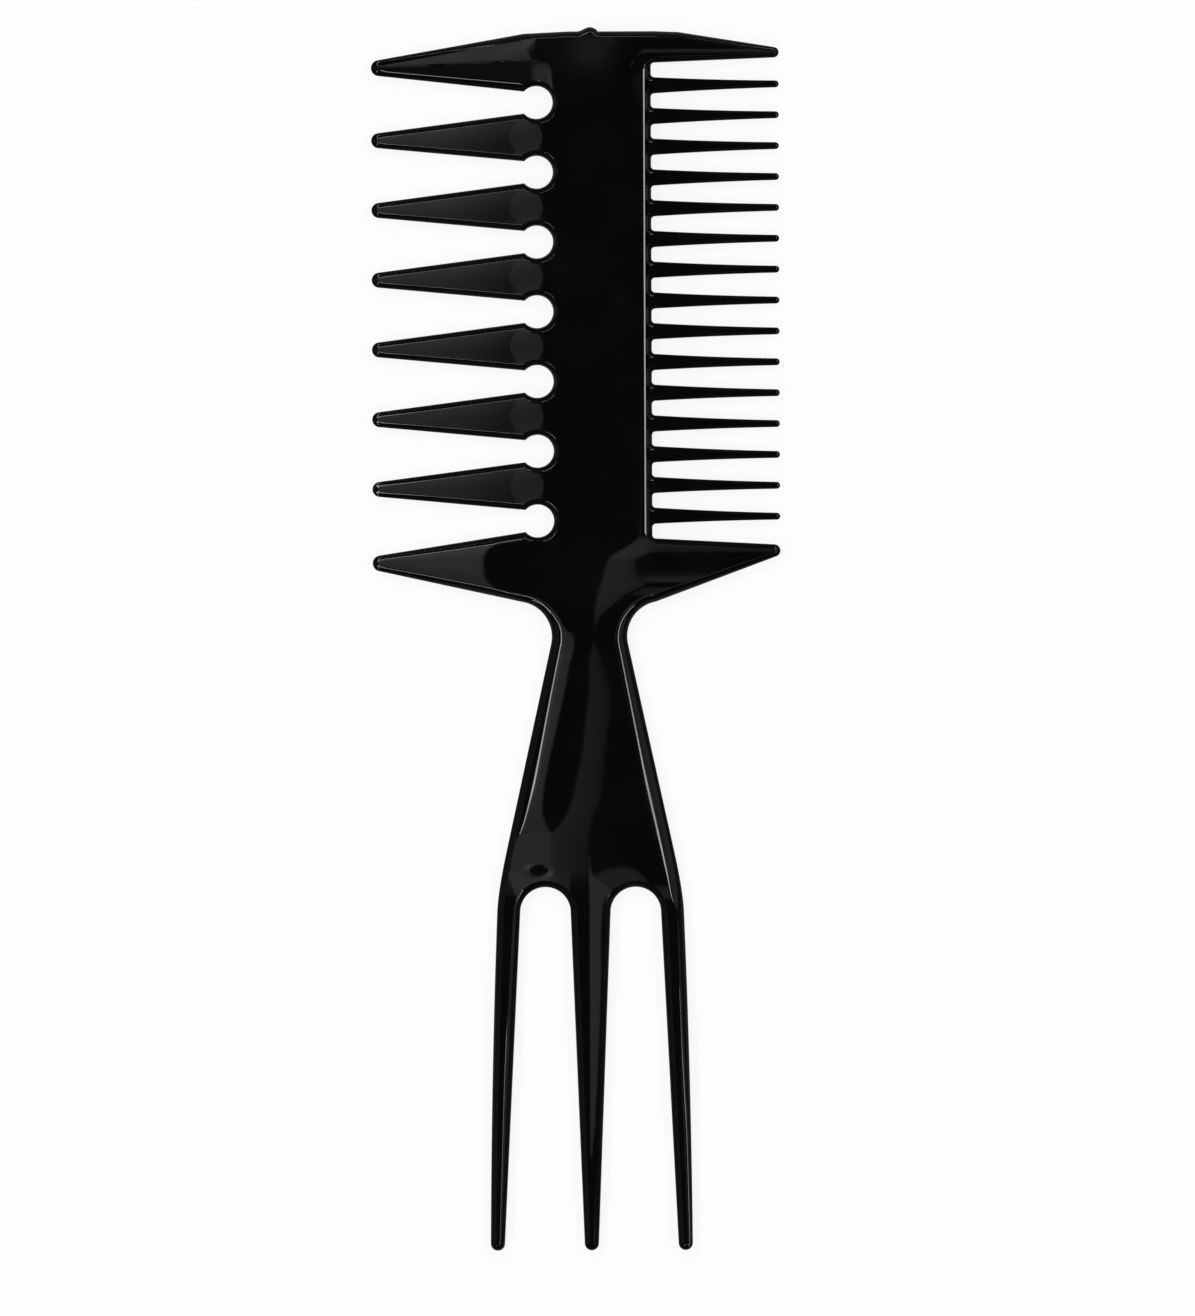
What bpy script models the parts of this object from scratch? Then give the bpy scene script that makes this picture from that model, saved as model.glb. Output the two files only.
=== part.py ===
"""Double-sided volumizing comb with a three-prong lifting fork.

The comb is one flat injection moulding in glossy black plastic, alike on its front
and its back. It lies on its back here: X runs across the teeth, +X towards the fine
row, +Y runs to the head's top edge and +Z stands up from the face.

Every region of the moulding is a solid of its own, so that each one can be named,
measured and given its own collision shape: the spine, eight wide teeth with seven
keyholes between them, seventeen fine teeth, the handle and three fork prongs.

All outlines are drawn in comb coordinates, with the handle's axis at X zero and the
head's top edge at Y zero. One parent empty then moves them to the part's origin,
which lies under the middle of the comb's outline.
"""
import math

import bmesh
import bpy
from mathutils import Vector

# Thickness of the moulding, given as half thicknesses from the parting plane
HALF_THICK = 0.0022
WIDE_TIP_HALF = 0.00095
GUARD_TIP_HALF = 0.00105
WEB_HALF = 0.00135
FINE_TIP_HALF = 0.00062
PRONG_TIP_HALF = 0.00125
WALL_SHARE = 0.3

# Gap that keeps neighbouring regions of the moulding apart
SEAM_GAP = 0.0003
SMALLEST = 0.000001

# Wide teeth and the keyholes between them, on the left
WIDE_COUNT = 8
WIDE_PITCH = 0.012868
WIDE_REACH = 0.03996
WIDE_TIP_RADIUS = 0.0014
WIDE_DROOP = 0.0005
WIDE_TAPER_START = 0.00816
KEYHOLE_RADIUS = 0.00303
KEYHOLE_OUT = 0.00949
KEYHOLE_DOWN = 0.01308
THROAT_SHARE = 0.67

# Guard teeth that close the wide row
GUARD_TIP_RADIUS = 0.00148
TOP_GUARD_TIP_DOWN = 0.00662
LOW_GUARD_TIP_RISE = 0.00731
TOP_GUARD_RIDGE_SHARE = 0.42
TOP_GUARD_RIDGE_FALL = 0.0003
TOP_GUARD_RIDGE_START_SHARE = 0.3
LOW_GUARD_TAPER_START = 0.0195

# Fine teeth, on the right
FINE_COUNT = 17
FINE_REACH = 0.03528
FINE_ROOT = 0.01167
FINE_ROOT_FILLET = 0.00065
FINE_ROOT_WIDTH = 0.00297
FINE_TIP_RADIUS = 0.00064
FINE_BOW_SHARE = 0.13
FINE_FAN = 0.0002

# Guard teeth that close the fine row
TOP_FINE_GUARD_ROOT = 0.00579
LOW_FINE_GUARD_ROOT = 0.01173
TOP_FINE_GUARD_TIP_DOWN = 0.00396
LOW_FINE_GUARD_TIP_RISE = 0.00942
TOP_FINE_GUARD_RADIUS = 0.00097
LOW_FINE_GUARD_RADIUS = 0.00115
TOP_KINK_BEYOND_SEAM = 0.0045
TOP_KINK_DROP = 0.00018

# Head
HEAD_BELOW_KEYHOLE = 0.01503
TOP_LEFT_DROP = 0.0004
TOP_CROWN_OUT = 0.0035
STEP_BACK = 0.00187
STEP_WIDTH = 0.0012

# Scar of the moulding gate, a low dome on the top edge
GATE_WIDTH = 0.00384
GATE_HEIGHT = 0.0008
GATE_PEAK_OUT = 0.00045
GATE_STAGE_SHARES = ((0.62, 0.66), (1.0, 0.22))
TOP_FACING_SHARE = 0.8

# Handle
NECK_HALF = 0.00696
NECK_FILLET = 0.0065
NECK_RISE_SHARE = 0.972
SHOULDER_HALF = 0.01545
SHOULDER_BELOW_NECK = 0.03951
ROOF_FALL = 0.00055

# Fork
ARCH_BELOW_NECK = 0.05086
FORK_FLARE_SHARE = 0.734
FORK_SPREAD = 0.0014
CENTRE_PRONG_ROOT_HALF = 0.00369
OUTER_PRONG_ROOT = 0.00425
PRONG_LENGTH = 0.0624
PRONG_BOW = 0.0005
PRONG_TIP_RADIUS = 0.00131
PRONG_RIDGE_FALL = 0.0005
PRONG_BLEND = 0.012

# Rounding of the edges, measured inwards from the outline
HEAD_ROUND = 0.00112
FINE_ROUND = 0.00045
HANDLE_ROUND = 0.0019
PRONG_ROUND = 0.00105
TIP_ROUND_SHARE = 0.78

# Steps along the curves
KEYHOLE_STEPS = 14
FILLET_STEPS = 8
CORNER_STEPS = 3
TIP_STEPS = 4
FINE_TIP_STEPS = 2
TAPER_STEPS = 4
SIDE_STEPS = 6
ARCH_STEPS = 12
ROUND_STEPS = 3
FINE_ROUND_STEPS = 2

# Finish
SMOOTH_ANGLE = math.radians(32.0)
BLACK = (0.0045, 0.0045, 0.0048, 1.0)
GLOSS_ROUGHNESS = 0.16

# Places that follow from the sizes above
THROAT_HALF = KEYHOLE_RADIUS * THROAT_SHARE
THROAT_OUT = KEYHOLE_OUT + math.sqrt(KEYHOLE_RADIUS ** 2 - THROAT_HALF ** 2)
HEAD_DEPTH = KEYHOLE_DOWN + WIDE_PITCH * (WIDE_COUNT - 2) + HEAD_BELOW_KEYHOLE
FINE_SEAM = FINE_ROOT + FINE_ROOT_FILLET
FINE_GAPS = FINE_COUNT - 1
FINE_SPAN = HEAD_DEPTH - TOP_FINE_GUARD_ROOT - LOW_FINE_GUARD_ROOT
FINE_PITCH = (FINE_SPAN + FINE_ROOT_WIDTH) / FINE_GAPS
STEP_INNER = FINE_ROOT - STEP_BACK
STEP_OUTER = STEP_INNER + STEP_WIDTH
NECK_DOWN = HEAD_DEPTH + NECK_FILLET * NECK_RISE_SHARE
SHOULDER_DOWN = NECK_DOWN + SHOULDER_BELOW_NECK
ARCH_DOWN = NECK_DOWN + ARCH_BELOW_NECK
SIDE_SLOPE = (SHOULDER_HALF - NECK_HALF) / SHOULDER_BELOW_NECK
FORK_FLARE = SIDE_SLOPE * (ARCH_BELOW_NECK - SHOULDER_BELOW_NECK) * FORK_FLARE_SHARE
FORK_HALF = SHOULDER_HALF + FORK_FLARE
FORK_TIP_HALF = FORK_HALF + FORK_SPREAD
ARCH_RADIUS = (FORK_HALF - OUTER_PRONG_ROOT - CENTRE_PRONG_ROOT_HALF) / 2
ARCH_OUT = CENTRE_PRONG_ROOT_HALF + ARCH_RADIUS
FORK_END = ARCH_DOWN + PRONG_LENGTH


def point(x, y):
    """Return a point of an outline."""
    return Vector((x, y))


def mirrored(points):
    """Return points on the other side of the handle's axis, in the other order."""
    return [point(-place.x, place.y) for place in reversed(points)]


def arc(centre, radius, start, end, steps):
    """Return the points of an arc from one angle to another, both ends included."""
    angles = [start + (end - start) * i / steps for i in range(steps + 1)]
    return [centre + radius * point(math.cos(a), math.sin(a)) for a in angles]


def blend(start, middle, end, steps):
    """Return the points of a curve that leaves and meets the lines to its middle point."""
    shares = [i / steps for i in range(steps + 1)]
    return [start * (1 - t) ** 2 + middle * (2 * t * (1 - t)) + end * t ** 2 for t in shares]


def crossing(first, along, second, across):
    """Return where two lines meet, each given by a point and a direction."""
    turn = along.x * across.y - along.y * across.x
    step = second - first
    return first + along * ((step.x * across.y - step.y * across.x) / turn)


def mix(first, second, share):
    """Return the value that lies a share of the way from the first to the second."""
    return first + (second - first) * min(max(share, 0.0), 1.0)


def eased(share):
    """Return a share that starts and ends gently."""
    held = min(max(share, 0.0), 1.0)
    return held * held * (3 - 2 * held)


def tangent_angle(outside, centre, radius, side):
    """Return the angle at which the tangent from an outside point meets a circle."""
    away = outside - centre
    return math.atan2(away.y, away.x) + side * math.acos(radius / away.length)


def tip_arc(tip, radius, arriving, leaving, facing, steps):
    """Return the rounded end of a tooth, between the tangents from its two root corners.

    The corners are given in the outline's own turning order, and facing is the angle
    at which the tooth points, where the arc always has a point.
    """
    start = tangent_angle(arriving, tip, radius, 1)
    end = tangent_angle(leaving, tip, radius, -1)
    start = facing - (facing - start) % math.tau
    end = facing + (end - facing) % math.tau
    first = arc(tip, radius, start, facing, steps)
    return first + arc(tip, radius, facing, end, steps)[1:]


def tip_rounding(width, radius):
    """Return an edge rounding that still fits inside a tip."""
    return min(width, radius * TIP_ROUND_SHARE)


class Outline:
    """Closed path round one region, anticlockwise, with the rounding at each point."""

    def __init__(self):
        self.points = []
        self.rounds = []
        self.seams = set()

    def add(self, points, rounding):
        """Add points that share one rounding, leaving out any that repeats the last."""
        for place in points:
            if not self.points or (self.points[-1] - place).length > SMALLEST:
                self.points.append(place)
                self.rounds.append(rounding)

    def seam(self):
        """Leave the next edge square, because a neighbouring region lies behind it."""
        self.seams.add(len(self.points) - 1)

    def inward(self, number):
        """Return how far a point moves inwards for the whole of its rounding."""
        here = self.points[number]
        before = (here - self.points[number - 1]).normalized()
        after = (self.points[(number + 1) % len(self.points)] - here).normalized()
        seam_before = (number - 1) % len(self.points) in self.seams
        seam_after = number in self.seams
        if seam_before and seam_after:
            return point(0, 0)
        if seam_after:
            return after * self.rounds[number]
        if seam_before:
            return -before * self.rounds[number]
        first, second = point(-before.y, before.x), point(-after.y, after.x)
        return (first + second) / (1 + first.dot(second)) * self.rounds[number]


def rounding_levels(steps):
    """Return the rings of a rounded edge as shares of its width and half thickness."""
    turns = [i * math.pi / 2 / steps for i in range(steps + 1)]
    upper = [(1 - math.cos(a), WALL_SHARE + (1 - WALL_SHARE) * math.sin(a)) for a in turns]
    return [(inset, -height) for inset, height in reversed(upper)] + upper


def moulded_solid(outline, steps):
    """Return a mesh that lifts an outline ring by ring round its rounded edges."""
    bm = bmesh.new()
    rim = bm.verts.layers.int.new("rim")
    moves = [outline.inward(number) for number in range(len(outline.points))]
    levels = rounding_levels(steps)

    def settle(vert, level):
        flat = outline.points[vert[rim]] + moves[vert[rim]] * level[0]
        vert.co = (flat.x, flat.y, HALF_THICK * level[1])

    for number in range(len(outline.points)):
        vert = bm.verts.new()
        vert[rim] = number
        settle(vert, levels[0])
    cap = bm.faces.new(bm.verts)
    for level in levels[1:]:
        lifted = bmesh.ops.extrude_face_region(bm, geom=[cap, *cap.edges])["geom"]
        cap = next(item for item in lifted if isinstance(item, bmesh.types.BMFace))
        for vert in cap.verts:
            settle(vert, level)
    bmesh.ops.recalc_face_normals(bm, faces=bm.faces)
    return bm


def crease(bm, through, direction):
    """Add edges where a plane that stands square on the face cuts a solid."""
    bmesh.ops.bisect_plane(
        bm,
        geom=bm.verts[:] + bm.edges[:] + bm.faces[:],
        dist=SMALLEST,
        plane_co=(through.x, through.y, 0),
        plane_no=(-direction.y, direction.x, 0),
    )


def set_thickness(bm, half_thickness):
    """Give each place of a solid its own half thickness."""
    for vert in bm.verts:
        vert.co.z *= half_thickness(vert.co.x, vert.co.y) / HALF_THICK


def glossy_black(name):
    """Return the moulding's glossy black plastic."""
    material = bpy.data.materials.new(name + "_plastic")
    material.use_nodes = True
    shader = material.node_tree.nodes["Principled BSDF"]
    shader.inputs["Base Color"].default_value = BLACK
    shader.inputs["Roughness"].default_value = GLOSS_ROUGHNESS
    shader.inputs["Metallic"].default_value = 0.0
    return material


def add_region(name, bm, parent):
    """Turn a finished mesh into a named region of the comb."""
    bmesh.ops.triangulate(bm, faces=[face for face in bm.faces if len(face.verts) > 4])
    mesh = bpy.data.meshes.new(name)
    bm.to_mesh(mesh)
    bm.free()
    mesh.shade_smooth()
    mesh.set_sharp_from_angle(angle=SMOOTH_ANGLE)
    mesh.materials.append(glossy_black(name))
    region = bpy.data.objects.new(name, mesh)
    region.parent = parent
    bpy.context.scene.collection.objects.link(region)
    return region


def keyhole_y(number):
    """Return the Y of a keyhole's centre, counted from the top."""
    return -(KEYHOLE_DOWN + WIDE_PITCH * number)


def fine_y(number):
    """Return the Y of a fine tooth's middle at its root, counted from the top.

    The first and the last place belong to the guard teeth, whose inner edges lie
    where a slim tooth's would.
    """
    return -(TOP_FINE_GUARD_ROOT - FINE_ROOT_WIDTH / 2 + FINE_PITCH * number)


def fillet_point(side, out):
    """Return where a neck fillet crosses a line that runs along the head."""
    centre = point(side * (NECK_HALF + NECK_FILLET), -NECK_DOWN)
    across = side * out - centre.x
    return point(side * out, centre.y + math.sqrt(NECK_FILLET ** 2 - across ** 2))


def wide_taper(x, start, tip_half):
    """Return the half thickness at X of a wide tooth that thins towards its tip."""
    return mix(HALF_THICK, tip_half, (-x - start) / (WIDE_REACH - start))


def wide_tooth(upper, lower, tip, radius):
    """Return the outline of a wide tooth from its root corners and its tip's centre."""
    path = Outline()
    path.add([upper], HEAD_ROUND)
    rounded = tip_arc(tip, radius, upper, lower, math.pi, TIP_STEPS)
    path.add(rounded, tip_rounding(HEAD_ROUND, radius))
    path.add([lower], HEAD_ROUND)
    path.seam()
    return path


def wide_corners(number):
    """Return the upper and lower root corners of a wide tooth on the throat line."""
    upper = point(-THROAT_OUT, keyhole_y(number - 1) - THROAT_HALF)
    lower = point(-THROAT_OUT, keyhole_y(number) + THROAT_HALF)
    if number == 0:
        upper.y = -TOP_LEFT_DROP
    if number == WIDE_COUNT - 1:
        lower.y = fillet_point(-1, THROAT_OUT).y
    return upper, lower


def add_wide_tooth(number, parent):
    """Build one of the pointed wide teeth, which lie between two keyholes."""
    upper, lower = wide_corners(number)
    tip = point(WIDE_TIP_RADIUS - WIDE_REACH, (upper.y + lower.y) / 2 - WIDE_DROOP)
    gap = point(SEAM_GAP, 0)
    bm = moulded_solid(wide_tooth(upper - gap, lower - gap, tip, WIDE_TIP_RADIUS), ROUND_STEPS)
    set_thickness(bm, lambda x, y: wide_taper(x, WIDE_TAPER_START, WIDE_TIP_HALF))
    add_region(f"wide_tooth_{number + 1:02d}", bm, parent)


def add_top_guard(parent):
    """Build the guard tooth above the wide row, with the faint ridge along its face."""
    upper, lower = wide_corners(0)
    tip = point(GUARD_TIP_RADIUS - WIDE_REACH, -TOP_GUARD_TIP_DOWN)
    gap = point(SEAM_GAP, 0)
    bm = moulded_solid(wide_tooth(upper - gap, lower - gap, tip, GUARD_TIP_RADIUS), ROUND_STEPS)
    ridge = upper + (lower - upper) * TOP_GUARD_RIDGE_SHARE
    run = tip - ridge
    crease(bm, ridge, run)

    def half_thickness(x, y):
        middle = ridge.y + run.y * (x - ridge.x) / run.x
        away = abs(y - middle) / (upper.y - lower.y)
        share = (-x - THROAT_OUT) / (WIDE_REACH - THROAT_OUT)
        fall = TOP_GUARD_RIDGE_FALL * away * eased(share / TOP_GUARD_RIDGE_START_SHARE)
        return wide_taper(x, THROAT_OUT, GUARD_TIP_HALF) - fall

    set_thickness(bm, half_thickness)
    add_region("wide_tooth_01", bm, parent)


def add_low_guard(parent):
    """Build the guard tooth below the wide row, flat at first and then tapered."""
    upper, lower = wide_corners(WIDE_COUNT - 1)
    tip = point(GUARD_TIP_RADIUS - WIDE_REACH, LOW_GUARD_TIP_RISE - HEAD_DEPTH)
    gap = point(SEAM_GAP, 0)
    bm = moulded_solid(wide_tooth(upper - gap, lower - gap, tip, GUARD_TIP_RADIUS), ROUND_STEPS)
    crease(bm, point(-LOW_GUARD_TAPER_START, 0), point(0, 1))
    set_thickness(bm, lambda x, y: wide_taper(x, LOW_GUARD_TAPER_START, GUARD_TIP_HALF))
    add_region(f"wide_tooth_{WIDE_COUNT:02d}", bm, parent)


def fine_taper(x, root_half, tip_half):
    """Return the half thickness at X of a fine tooth that thins towards its tip."""
    return mix(root_half, tip_half, (x - FINE_SEAM) / (FINE_REACH - FINE_SEAM))


def fine_side(root, tip, side):
    """Return one long side of a slim tooth, which bows in a little from a wider root."""
    places = []
    spare = FINE_ROOT_WIDTH / 2 - FINE_TIP_RADIUS
    for step in range(TAPER_STEPS + 1):
        t = step / TAPER_STEPS
        half = FINE_TIP_RADIUS + spare * (1 - t) * (1 - 4 * FINE_BOW_SHARE * t)
        places.append(root + (tip - root) * t + point(0, side * half))
    return places


def add_fine_tooth(number, parent):
    """Build one slim fine tooth."""
    root = point(FINE_SEAM + SEAM_GAP, fine_y(number))
    fan = FINE_FAN * (1 - number * 2 / FINE_GAPS)
    tip = root + point(FINE_REACH - FINE_TIP_RADIUS - root.x, fan)
    lower, upper = fine_side(root, tip, -1), fine_side(root, tip, 1)
    end = arc(tip, FINE_TIP_RADIUS, -math.pi / 2, math.pi / 2, FINE_TIP_STEPS * 2)
    path = Outline()
    path.add(lower + end + upper[::-1], FINE_ROUND)
    path.seam()
    bm = moulded_solid(path, FINE_ROUND_STEPS)
    set_thickness(bm, lambda x, y: fine_taper(x, WEB_HALF, FINE_TIP_HALF))
    add_region(f"fine_tooth_{number + 1:02d}", bm, parent)


def add_fine_guard(name, lower, upper, tip, radius, parent):
    """Build a guard tooth of the fine row from its lower and its upper points."""
    path = Outline()
    path.add([lower], HEAD_ROUND)
    rounded = tip_arc(tip, radius, lower, upper[0], 0, TIP_STEPS)
    path.add(rounded, tip_rounding(HEAD_ROUND, radius))
    path.add(upper, HEAD_ROUND)
    path.seam()
    bm = moulded_solid(path, ROUND_STEPS)
    set_thickness(bm, lambda x, y: fine_taper(x, HALF_THICK, GUARD_TIP_HALF))
    add_region(name, bm, parent)


def add_fine_row(parent):
    """Build the fine row: a guard tooth at each end and the slim teeth between."""
    root_x = FINE_SEAM + SEAM_GAP
    kink = point(FINE_SEAM + TOP_KINK_BEYOND_SEAM, -TOP_KINK_DROP)
    lower = point(root_x, fine_y(0) - FINE_ROOT_WIDTH / 2)
    tip = point(FINE_REACH - TOP_FINE_GUARD_RADIUS, -TOP_FINE_GUARD_TIP_DOWN)
    upper = [kink, point(root_x, 0)]
    add_fine_guard("fine_tooth_01", lower, upper, tip, TOP_FINE_GUARD_RADIUS, parent)
    for number in range(1, FINE_COUNT - 1):
        add_fine_tooth(number, parent)
    lower = point(root_x, fillet_point(1, FINE_SEAM).y)
    upper = [point(root_x, fine_y(FINE_COUNT - 1) + FINE_ROOT_WIDTH / 2)]
    tip = point(FINE_REACH - LOW_FINE_GUARD_RADIUS, LOW_FINE_GUARD_TIP_RISE - HEAD_DEPTH)
    name = f"fine_tooth_{FINE_COUNT:02d}"
    add_fine_guard(name, lower, upper, tip, LOW_FINE_GUARD_RADIUS, parent)


def spine_outline():
    """Return the spine's outline, with its keyholes, tooth roots and fine gaps."""
    path = Outline()
    path.add([wide_corners(0)[0]], HEAD_ROUND)
    path.seam()
    opening = math.acos((KEYHOLE_OUT - THROAT_OUT) / KEYHOLE_RADIUS)
    for number in range(WIDE_COUNT - 1):
        centre = point(-KEYHOLE_OUT, keyhole_y(number))
        path.add(arc(centre, KEYHOLE_RADIUS, opening, -opening, KEYHOLE_STEPS), HEAD_ROUND)
        path.seam()
    path.add([fillet_point(-1, THROAT_OUT)], HEAD_ROUND)
    path.seam()
    path.add([fillet_point(1, FINE_SEAM)], HEAD_ROUND)
    path.seam()
    for number in reversed(range(1, FINE_COUNT)):
        bottom = fine_y(number) + FINE_ROOT_WIDTH / 2 + FINE_ROOT_FILLET
        top = fine_y(number - 1) - FINE_ROOT_WIDTH / 2 - FINE_ROOT_FILLET
        turn = [-math.pi / 2, -math.pi, math.pi, math.pi / 2]
        low, high = point(FINE_SEAM, bottom), point(FINE_SEAM, top)
        path.add(arc(low, FINE_ROOT_FILLET, turn[0], turn[1], CORNER_STEPS), FINE_ROUND)
        path.add(arc(high, FINE_ROOT_FILLET, turn[2], turn[3], CORNER_STEPS), FINE_ROUND)
        path.seam()
    gate = GATE_WIDTH / 2
    path.add([point(FINE_SEAM, 0), point(TOP_CROWN_OUT, 0)], HEAD_ROUND)
    path.add([point(gate, 0), point(-gate, 0)], HEAD_ROUND)
    return path


def add_gate_scar(bm):
    """Raise the low dome that the moulding gate left on the middle of the top edge."""
    quads = [face for face in bm.faces if len(face.verts) == 4]
    walls = [face for face in quads if face.normal.y > TOP_FACING_SHARE]
    wall = min(walls, key=lambda face: (face.calc_center_median() - Vector()).length)
    for height_share, width_share in GATE_STAGE_SHARES:
        lifted = bmesh.ops.extrude_discrete_faces(bm, faces=[wall])["faces"]
        wall = lifted[0]
        centre_x = GATE_PEAK_OUT * height_share
        for vert in wall.verts:
            side = math.copysign(1, vert.co.x - wall.calc_center_median().x)
            vert.co.x = centre_x + side * GATE_WIDTH / 2 * width_share
            vert.co.y = GATE_HEIGHT * height_share
            vert.co.z = math.copysign(HALF_THICK * WALL_SHARE * width_share, vert.co.z)


def spine_thickness(x, y):
    """Return the spine's half thickness: a plateau that falls away to both tooth rows."""
    if keyhole_y(WIDE_COUNT - 2) < y < keyhole_y(0) and x < 0:
        return wide_taper(x, WIDE_TAPER_START, WIDE_TIP_HALF)
    top = fine_y(0) - FINE_ROOT_WIDTH / 2
    bottom = fine_y(FINE_COUNT - 1) + FINE_ROOT_WIDTH / 2
    inside = min(x - STEP_INNER, top - y, y - bottom)
    return mix(HALF_THICK, WEB_HALF, inside / STEP_WIDTH)


def add_spine(parent):
    """Build the spine, which carries both rows of teeth."""
    bm = moulded_solid(spine_outline(), ROUND_STEPS)
    add_gate_scar(bm)
    for x in (-WIDE_TAPER_START, STEP_INNER, STEP_OUTER):
        crease(bm, point(x, 0), point(0, 1))
    top = fine_y(0) - FINE_ROOT_WIDTH / 2
    bottom = fine_y(FINE_COUNT - 1) + FINE_ROOT_WIDTH / 2
    for y in (top, top - STEP_WIDTH, bottom + STEP_WIDTH, bottom):
        crease(bm, point(0, y), point(1, 0))
    set_thickness(bm, spine_thickness)
    add_region("spine", bm, parent)


def shoulder_curve():
    """Return the curve from the handle's right side round the shoulder to the fork."""
    fillet = point(NECK_HALF + NECK_FILLET, -NECK_DOWN)
    shoulder = point(SHOULDER_HALF, -SHOULDER_DOWN)
    angle = tangent_angle(shoulder, fillet, NECK_FILLET, -1)
    leaving = shoulder - arc(fillet, NECK_FILLET, angle, angle, 1)[0]
    start, bow, _ = prong_side()
    middle = crossing(shoulder, leaving, start, bow - start)
    return blend(shoulder, middle, start, SIDE_STEPS)


def prong_side():
    """Return the three points that steer the outer side of the right prong."""
    start = point(FORK_HALF, -ARCH_DOWN)
    end = point(FORK_TIP_HALF, PRONG_TIP_RADIUS - FORK_END)
    return start, (start + end) / 2 + point(PRONG_BOW, 0), end


def handle_side():
    """Return the handle's right side from the head down to the fork, with roundings."""
    fillet = point(NECK_HALF + NECK_FILLET, -NECK_DOWN)
    shoulder = point(SHOULDER_HALF, -SHOULDER_DOWN)
    rise = -HEAD_DEPTH - SEAM_GAP - fillet.y
    start = math.pi - math.asin(rise / NECK_FILLET)
    end = tangent_angle(shoulder, fillet, NECK_FILLET, -1) % math.tau
    side = []
    for place in arc(fillet, NECK_FILLET, start, end, FILLET_STEPS):
        share = (-place.y - HEAD_DEPTH) / (NECK_DOWN - HEAD_DEPTH)
        side.append((place, mix(HEAD_ROUND, HANDLE_ROUND, share)))
    for step in range(1, SIDE_STEPS):
        side.append((side[FILLET_STEPS][0].lerp(shoulder, step / SIDE_STEPS), HANDLE_ROUND))
    for place in shoulder_curve():
        share = (-place.y - SHOULDER_DOWN) / (ARCH_DOWN - SHOULDER_DOWN)
        side.append((place, mix(HANDLE_ROUND, PRONG_ROUND, share)))
    return side


def handle_outline():
    """Return the handle's outline, from the neck to the two arches of the fork."""
    side = handle_side()
    path = Outline()
    for place, rounding in side:
        path.add([point(-place.x, place.y)], rounding)
    path.seam()
    for centre_x in (-ARCH_OUT, ARCH_OUT):
        centre = point(centre_x, -ARCH_DOWN)
        path.add(arc(centre, ARCH_RADIUS, math.pi, 0, ARCH_STEPS), PRONG_ROUND)
        path.seam()
    for place, rounding in reversed(side):
        path.add([place], rounding)
    path.seam()
    return path


def handle_thickness(x, y):
    """Return the handle's half thickness: flat at the neck, then a shallow roof."""
    roof = eased((-y - NECK_DOWN) / (ARCH_DOWN - NECK_DOWN))
    return HALF_THICK - ROOF_FALL * roof * abs(x) / FORK_HALF


def add_handle(parent):
    """Build the handle with its faint ridge along the axis."""
    bm = moulded_solid(handle_outline(), ROUND_STEPS)
    crease(bm, point(0, 0), point(0, 1))
    for step in range(SIDE_STEPS):
        y = -mix(NECK_DOWN, ARCH_DOWN - ARCH_RADIUS, step / SIDE_STEPS)
        crease(bm, point(0, y), point(1, 0))
    set_thickness(bm, handle_thickness)
    add_region("handle", bm, parent)


def add_prong(name, outline, root, tip, half_root, parent):
    """Build a prong with a ridge from the middle of its root to its tip."""
    bm = moulded_solid(outline, ROUND_STEPS)
    crease(bm, root, tip - root)
    ridge_root = handle_thickness(root.x, root.y)

    def half_thickness(x, y):
        down = -ARCH_DOWN - y
        share = down / PRONG_LENGTH
        away = abs(x - mix(root.x, tip.x, share)) / half_root
        ridged = mix(ridge_root, PRONG_TIP_HALF, share) - PRONG_RIDGE_FALL * away
        return mix(handle_thickness(x, y), ridged, eased(down / PRONG_BLEND))

    set_thickness(bm, half_thickness)
    add_region(name, bm, parent)


def straight(start, end):
    """Return points along a straight prong side."""
    return [start.lerp(end, step / SIDE_STEPS) for step in range(SIDE_STEPS + 1)]


def add_fork(parent):
    """Build the three prongs of the lifting fork."""
    gap = point(0, -SEAM_GAP)
    down = -math.pi / 2
    rounding = tip_rounding(PRONG_ROUND, PRONG_TIP_RADIUS)

    inner = point(ARCH_OUT - ARCH_RADIUS, -ARCH_DOWN) + gap
    tip = point(0, PRONG_TIP_RADIUS - FORK_END)
    left = point(-inner.x, inner.y)
    tip_points = tip_arc(tip, PRONG_TIP_RADIUS, left, inner, down, TIP_STEPS)
    path = Outline()
    path.add(straight(left, tip_points[0]), PRONG_ROUND)
    path.add(tip_points, rounding)
    path.add(straight(tip_points[-1], inner), PRONG_ROUND)
    path.seam()
    root = point(0, inner.y)
    add_prong("prong_centre", path, root, tip, inner.x, parent)

    start, bow, end = prong_side()
    inner = point(ARCH_OUT + ARCH_RADIUS, -ARCH_DOWN) + gap
    outer = blend(start, bow, end, SIDE_STEPS)
    outer[0] = outer[0] + gap
    tip = point(end.x - PRONG_TIP_RADIUS, end.y)
    touch = tangent_angle(inner, tip, PRONG_TIP_RADIUS, 1) % math.tau - math.tau
    tip_points = arc(tip, PRONG_TIP_RADIUS, touch, down, TIP_STEPS)
    tip_points += arc(tip, PRONG_TIP_RADIUS, down, 0, TIP_STEPS)[1:]
    root = (inner + outer[0]) / 2
    half_root = (outer[0].x - inner.x) / 2
    for name, flip in (("prong_right", False), ("prong_left", True)):
        runs = [(straight(inner, tip_points[0]), PRONG_ROUND), (tip_points, rounding)]
        runs.append((outer[::-1], PRONG_ROUND))
        if flip:
            runs = [(mirrored(points), width) for points, width in reversed(runs)]
        path = Outline()
        for points, width in runs:
            path.add(points, width)
        path.seam()
        side = -1 if flip else 1
        ends = [point(side * place.x, place.y) for place in (root, tip)]
        add_prong(name, path, ends[0], ends[1], half_root, parent)


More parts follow.
